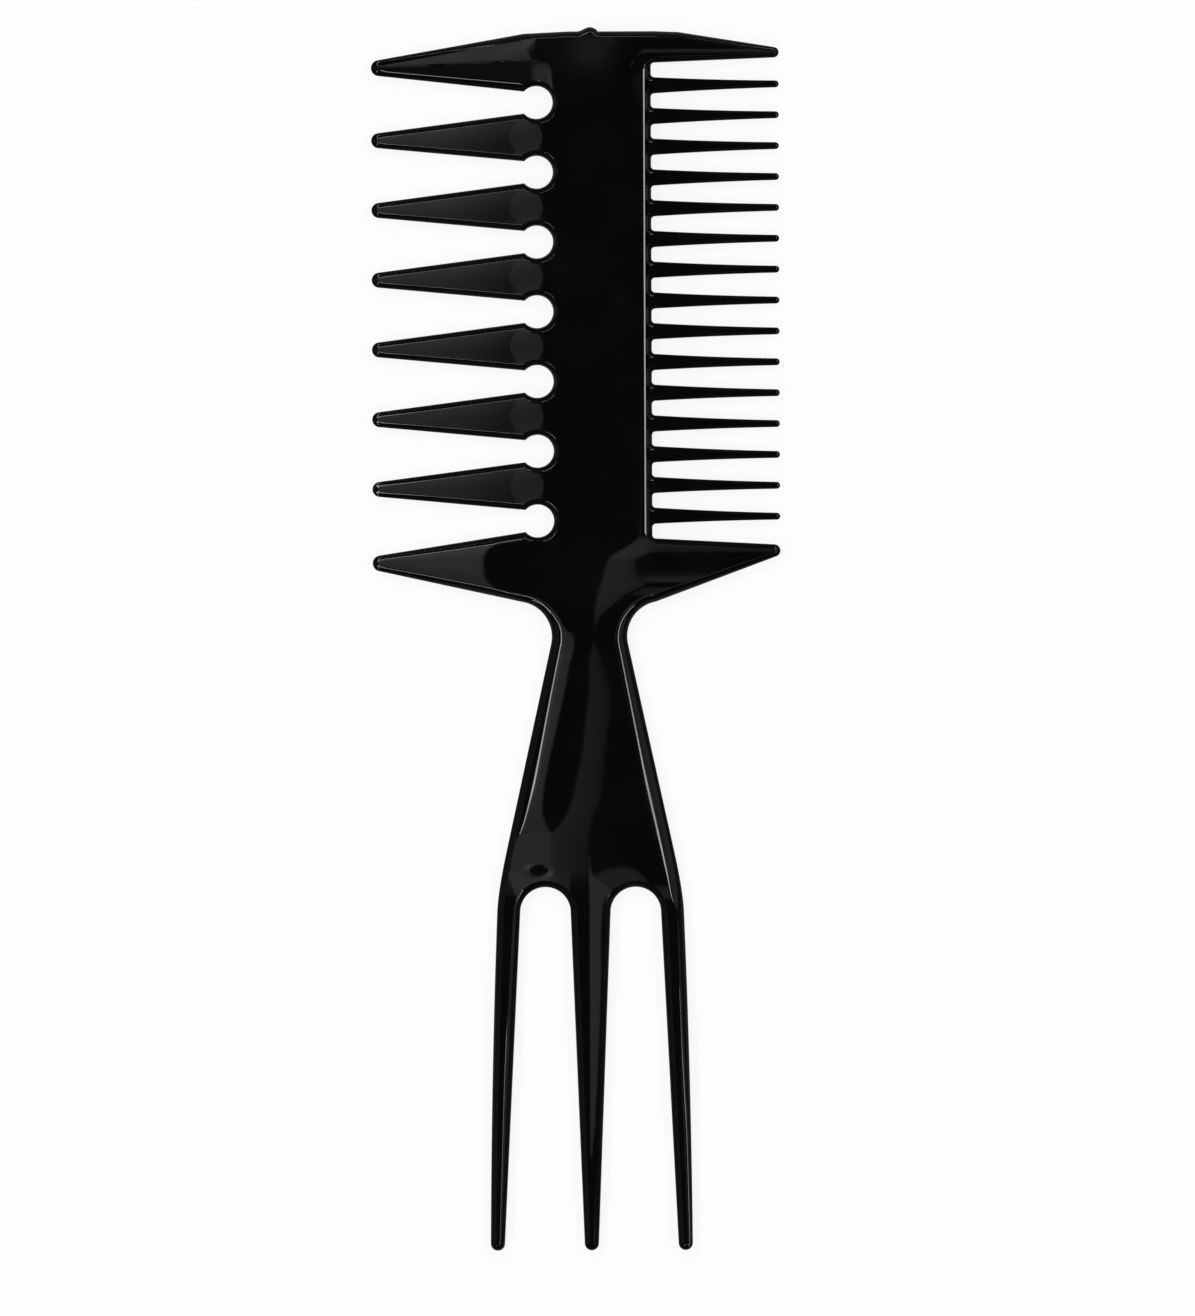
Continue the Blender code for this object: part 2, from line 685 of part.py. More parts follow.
def build():
    """Build the whole comb, with its origin under the middle of its outline."""
    for item in list(bpy.data.objects):
        bpy.data.objects.remove(item, do_unlink=True)
    comb = bpy.data.objects.new("comb", None)
    comb.location = (
        (WIDE_REACH - FINE_REACH) / 2,
        (FORK_END - GATE_HEIGHT) / 2,
        HALF_THICK,
    )
    bpy.context.scene.collection.objects.link(comb)
    add_spine(comb)
    add_top_guard(comb)
    for number in range(1, WIDE_COUNT - 1):
        add_wide_tooth(number, comb)
    add_low_guard(comb)
    add_fine_row(comb)
    add_handle(comb)
    add_fork(comb)


build()
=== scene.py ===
"""Looks of the volumizing comb: a glossy black moulding in a soft studio.

The comb's outline is drawn once, anticlockwise, in comb coordinates: the handle's axis
lies at X zero and the head's top edge at Y zero. Each piece of the moulding is lifted
from its own stretches of that outline, so that neighbours meet without a seam.
"""
from __future__ import annotations

import logging
import math
from dataclasses import dataclass, field, replace
from enum import Enum

import bmesh
import bpy
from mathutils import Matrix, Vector

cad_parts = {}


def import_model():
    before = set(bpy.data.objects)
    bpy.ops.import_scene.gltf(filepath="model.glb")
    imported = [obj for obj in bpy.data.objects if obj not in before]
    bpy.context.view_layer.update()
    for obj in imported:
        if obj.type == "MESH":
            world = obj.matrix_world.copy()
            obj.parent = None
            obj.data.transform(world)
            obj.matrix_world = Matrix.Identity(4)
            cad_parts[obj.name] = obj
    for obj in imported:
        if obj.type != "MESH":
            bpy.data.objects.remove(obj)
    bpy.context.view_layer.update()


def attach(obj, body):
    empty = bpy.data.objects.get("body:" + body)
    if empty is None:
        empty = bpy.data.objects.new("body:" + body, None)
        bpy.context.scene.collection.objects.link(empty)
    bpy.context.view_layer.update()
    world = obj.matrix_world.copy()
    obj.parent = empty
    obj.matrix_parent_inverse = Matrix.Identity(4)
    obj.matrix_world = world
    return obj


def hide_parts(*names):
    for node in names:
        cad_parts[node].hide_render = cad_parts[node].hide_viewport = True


LOG = logging.getLogger("comb")

MM = 0.001
SMALLEST = 0.000001
BODY = "root"
SKIN = "_skin"
HALF_THICK = 2.2 * MM
GRID = 0.5 * MM
STEP = 0.5 * MM
TURN_STEP = math.radians(9)
NEIGHBOURS = 2
TIP_SHARE = 0.78
SLOPE_STEP = 0.004 * MM
INTO_FACE = 0.06

Points = list[Vector]
Line = tuple[Vector, Vector]


def point(x: float, y: float) -> Vector:
    """Return a point of the outline."""
    return Vector((x, y))


def slope(degrees: float) -> float:
    """Return the slope of a facet that leans by an angle."""
    return math.tan(math.radians(degrees))


def held(share: float) -> float:
    """Return a share that stays between 0 and 1."""
    return min(max(share, 0.0), 1.0)


def mix(first: float, second: float, share: float) -> float:
    """Return the value that lies a share of the way from the first to the second."""
    return first + (second - first) * held(share)


def eased(share: float) -> float:
    """Return a share that starts and ends gently."""
    share = held(share)
    return share * share * (3 - 2 * share)


def ramp(distance: float, blur: float) -> float:
    """Return a distance where it is positive and else zero, with a soft knee of a width."""
    return (distance + math.sqrt(distance * distance + blur * blur)) / 2


def line(start: Vector, end: Vector) -> Points:
    """Return closely spaced points on a straight side, both ends included."""
    steps = max(1, math.ceil((end - start).length / STEP))
    return [start.lerp(end, number / steps) for number in range(steps + 1)]


def arc(centre: Vector, radius: float, start: float, end: float) -> Points:
    """Return closely spaced points of an arc.

    Args:
        centre: the arc's centre.
        radius: its radius.
        start: angle of the first point.
        end: angle of the last point.

    Returns:
        The points, both ends included.
    """
    turn = abs(end - start)
    steps = max(1, math.ceil(turn / TURN_STEP), math.ceil(turn * radius / STEP))
    angles = [start + (end - start) * number / steps for number in range(steps + 1)]
    return [centre + radius * point(math.cos(a), math.sin(a)) for a in angles]


def curve(start: Vector, middle: Vector, end: Vector) -> Points:
    """Return closely spaced points of a curve.

    Args:
        start: its first point.
        middle: where the lines meet that it leaves and reaches its ends along.
        end: its last point.

    Returns:
        The points, both ends included.
    """
    steps = max(1, math.ceil((end - start).length / STEP))
    shares = [number / steps for number in range(steps + 1)]
    return [start * (1 - t) ** 2 + middle * (2 * t * (1 - t)) + end * t**2 for t in shares]


def crossing(first: Line, second: Line) -> Vector:
    """Return where two lines meet.

    Args:
        first: a point and a direction.
        second: the other line, in the same way.

    Returns:
        Their common point.
    """
    (start, along), (other, across) = first, second
    turn = along.x * across.y - along.y * across.x
    away = other - start
    return start + along * ((away.x * across.y - away.y * across.x) / turn)


def tangent_angle(outside: Vector, centre: Vector, radius: float, side: int) -> float:
    """Return the angle at which the tangent from an outside point meets a circle."""
    away = outside - centre
    return math.atan2(away.y, away.x) + side * math.acos(radius / away.length)


def tip_arc(tip: Vector, radius: float, arriving: Vector, leaving: Vector, facing: float) -> Points:
    """Return the rounded end of a tooth, between the tangents from its two root corners.

    Args:
        tip: centre of the rounded end.
        radius: its radius.
        arriving: corner that the outline comes from.
        leaving: corner that it goes on to.
        facing: angle at which the tooth points.

    Returns:
        The points of the end, in the outline's turning order.
    """
    start = tangent_angle(arriving, tip, radius, 1)
    end = tangent_angle(leaving, tip, radius, -1)
    start = facing - (facing - start) % math.tau
    end = facing + (end - facing) % math.tau
    return arc(tip, radius, start, end)


class Track:
    """A smooth line across the face, given by one coordinate at a few places of the other."""

    def __init__(self, *knots: tuple[float, float]) -> None:
        """Keep the knots, each a place and the track's value there, in millimetres."""
        self.places = [place * MM for place, _ in sorted(knots)]
        self.values = [value * MM for _, value in sorted(knots)]

    def at(self, place: float) -> float:
        """Return the track's value at a place.

        Args:
            place: where to look.

        Returns:
            The value on the smooth line through the knots, and beyond them that of the end.
        """
        places, values = self.places, self.values
        if place <= places[0]:
            return values[0]
        if place >= places[-1]:
            return values[-1]
        upper = next(i for i, knot in enumerate(places) if knot > place)
        lower = upper - 1
        span = places[upper] - places[lower]
        t = (place - places[lower]) / span
        first, last = self._slope(lower) * span, self._slope(upper) * span
        base = mix(values[lower], values[upper], t * t * (3 - 2 * t))
        return base + t * (1 - t) * (first * (1 - t) - last * t)

    def _slope(self, number: int) -> float:
        """Return the track's slope at one of its knots."""
        before, after = max(number - 1, 0), min(number + 1, len(self.places) - 1)
        return (self.values[after] - self.values[before]) / (self.places[after] - self.places[before])


@dataclass(frozen=True)
class Edge:
    """Rounding of an edge, seen from the face.

    Args:
        reach: how far the rounding reaches inwards.
        softness: how softly it bends, as a share of its reach.
        lean: angle in degrees at which it leaves the face, where 0 leaves no crease.
    """

    reach: float
    softness: float
    lean: float

    def towards(self, other: Edge, share: float) -> Edge:
        """Return an edge that lies a share of the way to another one."""
        return Edge(
            mix(self.reach, other.reach, share),
            mix(self.softness, other.softness, share),
            mix(self.lean, other.lean, share),
        )

    def inside(self, radius: float) -> Edge:
        """Return the edge as it fits inside a rounded tip."""
        return replace(self, reach=min(self.reach, radius * TIP_SHARE))


HEAD_EDGE = Edge(1.05 * MM, 0.35, 10.0)
KEYHOLE_EDGE = Edge(1.0 * MM, 0.3, 19.0)
WIDE_TIP_EDGE = Edge(1.0 * MM, 0.3, 45.0)
GUARD_EDGE = Edge(1.6 * MM, 0.55, 0.0)
GUARD_TOP_EDGE = Edge(1.2 * MM, 0.3, 36.0)
FINE_EDGE = Edge(0.45 * MM, 0.3, 62.0)
FINE_TIP_EDGE = Edge(0.55 * MM, 0.6, 0.0)
POCKET_EDGE = Edge(0.9 * MM, 0.3, 32.0)
NECK_EDGE = Edge(2.6 * MM, 0.45, 0.0)
HANDLE_EDGE = Edge(3.1 * MM, 0.14, 0.0)
THIN_HANDLE_EDGE = Edge(2.4 * MM, 0.14, 0.0)
ARCH_EDGE = Edge(1.2 * MM, 0.3, 47.0)
GLINT_EDGE = Edge(1.2 * MM, 0.35, 12.0)
PRONG_EDGE = Edge(1.25 * MM, 0.3, 34.0)
PRONG_TIP_EDGE = Edge(1.2 * MM, 0.3, 45.0)
THIN_PRONG_EDGE = Edge(1.45 * MM, 0.3, 8.0)
LINED_PRONG_EDGE = Edge(1.75 * MM, 0.95, 0.0)
FAINT_PRONG_EDGE = Edge(1.6 * MM, 0.27, 12.0)


@dataclass
class Spot:
    """A point of the outline, with its edge and the pieces that it borders."""

    place: Vector
    edge: Edge
    owners: set[str]
    inward: Vector = field(default_factory=Vector)
    outward: Vector = field(default_factory=Vector)


class Contour:
    """The comb's whole outline, anticlockwise."""

    def __init__(self) -> None:
        """Start with no spots."""
        self.spots: list[Spot] = []

    def run(self, owner: str, places: Points, *edges: Edge) -> None:
        """Add a stretch of the outline that borders one piece.

        Args:
            owner: name of the piece.
            places: the stretch's points.
            edges: the rounding of its edge, or several, evenly spaced from end to end.
        """
        last = len(edges) - 1
        for number, place in enumerate(places):
            along = number / (len(places) - 1) * last
            knot = min(int(along), max(last - 1, 0))
            self.add(owner, place, edges[knot].towards(edges[min(knot + 1, last)], along - knot))

    def add(self, owner: str, place: Vector, edge: Edge) -> None:
        """Add one point of the outline, or share the last one where it is the same.

        Args:
            owner: name of the piece that it borders.
            place: the point.
            edge: the rounding there.
        """
        if self.spots and (self.spots[-1].place - place).length < SMALLEST:
            self.share(owner)
        else:
            self.spots.append(Spot(place, edge, {owner}))

    def share(self, *owners: str) -> None:
        """Let more pieces border the last spot."""
        self.spots[-1].owners.update(owners)

    def close(self) -> None:
        """Join the ends, even out the edges and work out every direction."""
        first, last = self.spots[0], self.spots[-1]
        if (first.place - last.place).length < SMALLEST:
            first.owners |= last.owners
            self.spots.pop()
        count = len(self.spots)
        edges = [self._evened(number) for number in range(count)]
        for number, (spot, edge) in enumerate(zip(self.spots, edges)):
            before = (spot.place - self.spots[number - 1].place).normalized()
            after = (self.spots[(number + 1) % count].place - spot.place).normalized()
            start, end = point(-before.y, before.x), point(-after.y, after.x)
            spot.edge = edge
            spot.outward = -(start + end).normalized()
            spot.inward = (start + end) / (1 + start.dot(end)) * edge.reach

    def _evened(self, number: int) -> Edge:
        """Return a spot's edge, evened out along its neighbours.

        Args:
            number: the spot's number.

        Returns:
            The mean edge, which reaches no further than the spot's own.
        """
        near = [number + step for step in range(-NEIGHBOURS, NEIGHBOURS + 1)]
        edges = [self.spots[place % len(self.spots)].edge for place in near]
        mean = edges[0]
        for seen, edge in enumerate(edges[1:], start=2):
            mean = mean.towards(edge, 1 / seen)
        return replace(mean, reach=min(mean.reach, self.spots[number].edge.reach))


class Wall(Enum):
    """What a face of a piece is."""

    CAP = 1
    RIM = 2
    SEAM = 3


@dataclass(frozen=True)
class Profile:
    """Section of the moulding's rounded edge, from its outermost line to its face.

    The section is one smooth curve with four steering points. The second one stands over
    the outermost line, the third one lies inwards, on the line on which the edge leaves
    the face.
    """

    wall_share: float = 0.2
    rise_share: float = 0.55
    steps: int = 9

    def at(self, t: float, edge: Edge) -> tuple[float, float, float, float]:
        """Return one place on the section.

        Args:
            t: 0 at the outermost line, 1 where the face begins.
            edge: the edge that the section belongs to.

        Returns:
            The inset and the height as shares, and how fast each of them grows.
        """
        start = self.wall_share
        second = mix(start, 1.0, self.rise_share)
        third = 1 - edge.softness
        drop = edge.softness * edge.reach * slope(edge.lean) / HALF_THICK
        s = 1 - t
        inset = 3 * s * t * t * third + t**3
        height = start * s**3 + 3 * second * s * s * t + 3 * (1 - drop) * s * t * t + t**3
        grow_in = 6 * s * t * third + 3 * t * t * edge.softness
        grow_up = 3 * (second - start) * s * s + 6 * (1 - drop - second) * s * t
        return inset, height, grow_in, grow_up + 3 * drop * t * t

    def rings(self) -> list[tuple[int, float]]:
        """Return the side and the place of each ring, from the back's face to the front's."""
        front = [(1, number / self.steps) for number in range(self.steps + 1)]
        return [(-1, t) for _, t in reversed(front)] + front


class Skin:
    """The closed skin of one piece, lifted ring by ring and ruled with a fine grid."""

    def __init__(self, owner: str, comb: Comb) -> None:
        """Lift a piece from its stretches of the comb's outline.

        Args:
            owner: name of the piece.
            comb: the comb that it belongs to.
        """
        self.owner = owner
        self.comb = comb
        self.spots = comb.contour.spots
        self.rings = comb.profile.rings()
        self.bm = bmesh.new()
        self.spot_of = self.bm.verts.layers.int.new("spot")
        self.ring_of = self.bm.verts.layers.int.new("ring")
        self.lean_of = self.bm.verts.layers.float_vector.new("lean")
        self.wall = self.bm.faces.layers.int.new("wall")
        self._lift()
        self._name_walls()

    def _settle(self, vert: bmesh.types.BMVert, ring: int) -> None:
        """Put a vertex of the outline on one of the rings.

        Args:
            vert: the vertex, which knows its spot.
            ring: number of the ring.
        """
        side, t = self.rings[ring]
        spot = self.spots[vert[self.spot_of]]
        inset, high, grow_in, grow_up = self.comb.profile.at(t, spot.edge)
        flat = spot.place + spot.inward * inset
        vert.co = (flat.x, flat.y, HALF_THICK * high * side)
        vert[self.ring_of] = ring
        lean = spot.outward * grow_up * HALF_THICK
        vert[self.lean_of] = Vector((lean.x, lean.y, grow_in * spot.edge.reach))

    def _lift(self) -> None:
        """Lift the piece's outline through all rings."""
        bm = self.bm
        for number, spot in enumerate(self.spots):
            if self.owner in spot.owners:
                vert = bm.verts.new()
                vert[self.spot_of] = number
                self._settle(vert, 0)
        cap = bm.faces.new(bm.verts)
        for ring in range(1, len(self.rings)):
            lifted = bmesh.ops.extrude_face_region(bm, geom=[cap, *cap.edges])["geom"]
            cap = next(item for item in lifted if isinstance(item, bmesh.types.BMFace))
            for vert in cap.verts:
                self._settle(vert, ring)
        bmesh.ops.recalc_face_normals(bm, faces=bm.faces)

    def _name_walls(self) -> None:
        """Tell the front and the back, the rounded edge and the seams apart."""
        count = len(self.spots)
        for face in self.bm.faces:
            ends = {vert[self.spot_of] for vert in face.verts}
            if len({vert[self.ring_of] for vert in face.verts}) == 1:
                wall = Wall.CAP
            elif any((i + 1) % count in ends for i in ends):
                wall = Wall.RIM
            else:
                wall = Wall.SEAM
            face[self.wall] = wall.value

    def _ruled(self) -> list[bmesh.types.BMFace]:
        """Return all faces but those of the rounded edge."""
        return [face for face in self.bm.faces if face[self.wall] != Wall.RIM.value]

    def rule(self, through: Vector, direction: Vector) -> None:
        """Add a crease across the front and the back, along a line seen from above."""
        self._cut(self._ruled(), through, direction)

    def _cut(
        self, faces: list[bmesh.types.BMFace], through: Vector, direction: Vector
    ) -> list[bmesh.types.BMFace]:
        """Cut some faces along a line seen from above.

        Args:
            faces: the faces.
            through: a point of the line.
            direction: the way that it runs.

        Returns:
            The same faces and the new ones.
        """
        geom = dict.fromkeys(item for face in faces for item in (face, *face.edges, *face.verts))
        result = bmesh.ops.bisect_plane(
            self.bm,
            geom=list(geom),
            dist=SMALLEST,
            plane_co=(through.x, through.y, 0),
            plane_no=(-direction.y, direction.x, 0),
        )["geom"]
        return [item for item in result if isinstance(item, bmesh.types.BMFace)]

    def grid(self) -> None:
        """Rule the skin with the fine grid, first along X and then along Y."""
        for axis, direction in ((1, point(1, 0)), (0, point(0, 1))):
            faces = self._ruled()
            places = [vert.co[axis] for face in faces for vert in face.verts]
            first, last = math.ceil(min(places) / GRID), math.floor(max(places) / GRID)
            for place in (number * GRID for number in range(first, last + 1)):
                through = point(0, place) if axis else point(place, 0)
                faces = self._cut(faces, through, direction)
                edge = place + SMALLEST
                faces = [f for f in faces if any(v.co[axis] > edge for v in f.verts)]

    def finish(self) -> bpy.types.Object:
        """Give the skin its thickness and turn it into a piece.

        Returns:
            The piece's object, with exact normals.
        """
        bm, half = self.bm, self.comb.half
        for vert in bm.verts:
            vert.co.z *= half(vert.co.x, vert.co.y) / HALF_THICK
        bmesh.ops.triangulate(bm, faces=[face for face in bm.faces if len(face.verts) > 4])
        normals = self._normals()
        bmesh.ops.translate(bm, verts=bm.verts, vec=self.comb.origin)
        mesh = bpy.data.meshes.new(self.owner)
        bm.to_mesh(mesh)
        bm.free()
        mesh.shade_smooth()
        mesh.normals_split_custom_set(normals)
        piece = bpy.data.objects.new(self.owner + SKIN, mesh)
        bpy.context.scene.collection.objects.link(piece)
        return piece

    def _normals(self) -> list[Vector]:
        """Work out the exact normal at every corner of every face.

        Returns:
            The normals, in the faces' order.
        """
        normals = []
        for face in self.bm.faces:
            wall, middle = Wall(face[self.wall]), face.calc_center_median()
            for vert in face.verts:
                if wall is Wall.SEAM:
                    normals.append(face.normal.copy())
                elif wall is Wall.CAP:
                    normals.append(self._face_normal(vert, middle))
                else:
                    normals.append(self._rim_normal(vert))
        return normals

    def _slope(self, x: float, y: float) -> Vector:
        """Return the slope of the half thickness at a place."""
        d, half = SLOPE_STEP, self.comb.half
        return point(half(x + d, y) - half(x - d, y), half(x, y + d) - half(x, y - d)) / (2 * d)

    def _face_normal(self, vert: bmesh.types.BMVert, middle: Vector) -> Vector:
        """Return the normal of the front or the back at one corner of a face.

        Args:
            vert: the corner.
            middle: the face's middle, towards which the slope is read, off any crease.

        Returns:
            The normal.
        """
        near = vert.co.lerp(middle, INTO_FACE)
        lean = self._slope(near.x, near.y)
        return Vector((-lean.x, -lean.y, math.copysign(1, vert.co.z))).normalized()

    def _rim_normal(self, vert: bmesh.types.BMVert) -> Vector:
        """Return the normal of the rounded edge at a vertex.

        Args:
            vert: the vertex, which knows how the edge leans there.

        Returns:
            The normal.
        """
        lean = vert[self.lean_of]
        high = self.comb.half(vert.co.x, vert.co.y) / HALF_THICK
        flat = point(lean.x, lean.y) * high - self._slope(vert.co.x, vert.co.y) * lean.z
        return Vector((flat.x, flat.y, math.copysign(lean.z, vert.co.z))).normalized()


class Region:
    """A group of the moulding's pieces, which are lifted and dressed in the same way."""

    @property
    def marked(self) -> bool:
        """Return whether the ejector pins left their discs on the region."""
        return False

    def names(self) -> list[str]:
        """Return the names of the region's pieces."""
        raise NotImplementedError

    def creases(self, name: str) -> list[Line]:
        """Return the lines that crease a piece, seen from above."""
        return []

    def build(self, comb: Comb) -> list[bpy.types.Object]:
        """Build the region's pieces.

        Args:
            comb: the comb that they belong to.

        Returns:
            Their objects.
        """
        pieces = []
        for name in self.names():
            skin = Skin(name, comb)
            for through, direction in self.creases(name):
                skin.rule(through, direction)
            skin.grid()
            pieces.append(skin.finish())
        return pieces

    def dress(self, pieces: list[bpy.types.Object], comb: Comb, polish: Polish) -> None:
        """Give the region's pieces their finish, with the ejector pins' marks where it has them."""
        for piece in pieces:
            polish.dress(piece, comb, self.marked)


@dataclass(frozen=True)
class Neck:
    """The waist between head and handle, with its two fillets."""

    half: float = 6.96 * MM
    fillet: float = 6.5 * MM
    head_depth: float = 105.318 * MM
    rise_share: float = 0.972

    @property
    def down(self) -> float:
        """Return how far the waist lies below the head's top edge."""
        return self.head_depth + self.fillet * self.rise_share

    def fillet_point(self, side: int, out: float) -> Vector:
        """Return where a fillet crosses a line that runs along the head.

        Args:
            side: 1 on the right and -1 on the left.
            out: how far out the line lies.

        Returns:
            The point on the fillet.
        """
        centre = point(side * (self.half + self.fillet), -self.down)
        across = side * out - centre.x
        return point(side * out, centre.y + math.sqrt(self.fillet**2 - across**2))


@dataclass(frozen=True)
class Patch:
    """An oval place on the face that shrank or stayed flat as the moulding cooled."""

    x: float
    y: float
    wide: float
    tall: float
    core: float = 0.7
    fade: float = 0.6

    def away(self, x: float, y: float) -> float:
        """Return how far a place is from the patch's middle, where 1 lies on its oval."""
        return math.hypot((x - self.x) / self.wide, (y - self.y) / self.tall)

    def share(self, x: float, y: float) -> float:
        """Return how strongly the patch acts at a place, from 1 in its middle to 0 outside."""
        return 1 - eased((self.away(x, y) - self.core) / self.fade)

    def depth(self, x: float, y: float) -> float:
        """Return the depth of a softly rounded hollow, as a share of its deepest."""
        away = self.away(x, y)
        return math.exp(-away * away / 2)


@dataclass(frozen=True)
class Plate:
    """The broad face of spine and handle: flat, with shallow facets round the neck."""

    sunk: float = 0.34 * MM
    sinks_from: float = 48 * MM
    sinks_over: float = 46 * MM
    flat_margin: float = 10 * MM
    rises_from: float = 112 * MM
    rises_over: float = 34 * MM
    leaf_until: float = 112 * MM
    facets_from: float = 105 * MM
    leaf_slopes: tuple[float, float] = (slope(2.2), slope(1.8))
    facet_slopes: tuple[float, float] = (slope(1.5), slope(1.95))
    rim_slope: float = slope(2.7)
    right_slope: float = slope(0.5)
    gate_sink: Patch = Patch(0.5 * MM, 1.0 * MM, 3.4 * MM, 4.4 * MM)
    gate_depth: float = 0.19 * MM
    flat: Patch = Patch(-9.6 * MM, -154.8 * MM, 2.4 * MM, 1.1 * MM)
    flat_slope: float = 0.04
    notch_from: float = 154.3 * MM
    notch_over: float = 5.5 * MM
    notch_wide: float = 3.9 * MM
    blur: float = 0.3 * MM
    leaf_left: Track = Track(
        (-52, 9.9), (-60, 9.6), (-75, 9.35), (-90, 9.15), (-93.2, 8.9), (-94.1, 8.2),
        (-95.3, 6.55), (-97.3, 3.5), (-100.5, 2.4), (-103.9, 1.36), (-106.3, 0.85),
        (-108.4, 0.66), (-111, 0.7))
    leaf_right: Track = Track(
        (-52, 9.9), (-60, 9.9), (-93, 9.9), (-94.7, 11.6), (-96.2, 10.9), (-97.7, 8.9),
        (-99.2, 8.8), (-100.7, 9.4), (-102.1, 10.5), (-103.3, 8.4), (-104.2, 6.6),
        (-105.1, 5.6), (-106.6, 3.7), (-108, 2.3), (-109.5, 1.5), (-111, 0.7))
    ridge: Track = Track(
        (-105, 0.75), (-111, 0.7), (-114.5, 2), (-116.7, 2.6), (-118.9, 3.2), (-121.1, 3.8),
        (-123.4, 4.1), (-125.6, 4.1), (-127.8, 3.8), (-130, 3.4), (-134.4, 3), (-138.9, 2.6),
        (-141.1, 2.2), (-143.3, 1.4), (-145.5, 0.6), (-148, 0))
    band: Track = Track(
        (-105, 0.75), (-111, 0.7), (-114.5, 0), (-116.7, -0.4), (-121.1, -0.35),
        (-125.6, -0.8), (-130, -1.3), (-134.4, -1.9), (-138.9, -2.9), (-141.1, -3.4),
        (-143.3, -4.1), (-145, -4.9), (-146.3, -5.8), (-147.2, -6.6), (-148, -7.2), (-150, -7.4))
    rim: Track = Track(
        (-103, -30), (-105, -14), (-109, -5.7), (-110.5, -4), (-111.2, -3.1), (-112.3, -2.7),
        (-114.5, -2.9), (-116.7, -3.6), (-121.1, -4.4), (-125.6, -5.4), (-130, -6.4),
        (-134.4, -7.4), (-138.9, -8.3), (-143.3, -8.7), (-145.3, -8.4), (-146.6, -7.9),
        (-148, -7.2), (-150, -7.4))
    rim_out: Track = Track(
        (-149, -30), (-153, -17.2), (-156, -15.4), (-158.5, -14.4), (-161, -13.3), (-164, -12.6))

    def half(self, x: float, y: float) -> float:
        """Return the half thickness on the plate, without the rounding of its edges.

        Args:
            x: place across the comb.
            y: place along it.

        Returns:
            The half thickness there.
        """
        down = -y
        if down < self.sinks_from - self.flat_margin:
            return HALF_THICK - self.gate_sink.depth(x, y) * self.gate_depth
        face = HALF_THICK - self.sunk * eased((down - self.sinks_from) / self.sinks_over)
        if down < self.leaf_until:
            face = self._leaf(x, y, face)
        if down > self.facets_from:
            face = self._facets(x, y, face)
        return face

    def _leaf(self, x: float, y: float, face: float) -> float:
        """Return the half thickness with the leaf that rises above the neck.

        Args:
            x: place across the comb.
            y: place along it.
            face: half thickness without the leaf.

        Returns:
            The half thickness with it.
        """
        left, right = self.leaf_left.at(y), self.leaf_right.at(y)
        wide = max(right - left, SMALLEST)
        into = ramp(x - left, self.blur) - ramp(x - left - wide, self.blur)
        return face + self._bent(into, wide, self.leaf_slopes)

    def _facets(self, x: float, y: float, face: float) -> float:
        """Return the half thickness with the long facets on both sides of the handle's ridge.

        Args:
            x: place across the comb.
            y: place along it.
            face: half thickness without the facets.

        Returns:
            The half thickness with them.
        """
        down = -y
        ridge, band = self.ridge.at(y), self.band.at(y)
        wide = max(ridge - band, SMALLEST)
        into = ramp(ridge - x, self.blur) - ramp(ridge - wide - x, self.blur)
        face -= self._bent(into, wide, self.facet_slopes)
        notch = eased((down - self.notch_from) / self.notch_over)
        face += self._bent(min(into, self.notch_wide), wide, self.facet_slopes) * notch
        face -= (x - self.flat.x) * self.flat_slope * self.flat.share(x, y)
        face -= self.rim_slope * ramp(min(self.rim.at(y), band) - x, self.blur)
        face += self.rim_slope * ramp(self.rim_out.at(y) - x, self.blur)
        back = eased((down - self.rises_from) / self.rises_over)
        return face - self.right_slope * ramp(x - ridge, self.blur) * back

    def _bent(self, into: float, wide: float, slopes: tuple[float, float]) -> float:
        """Return the height climbed on a facet whose slope changes evenly across it."""
        return slopes[0] * into + (slopes[1] - slopes[0]) * into * into / (2 * wide)


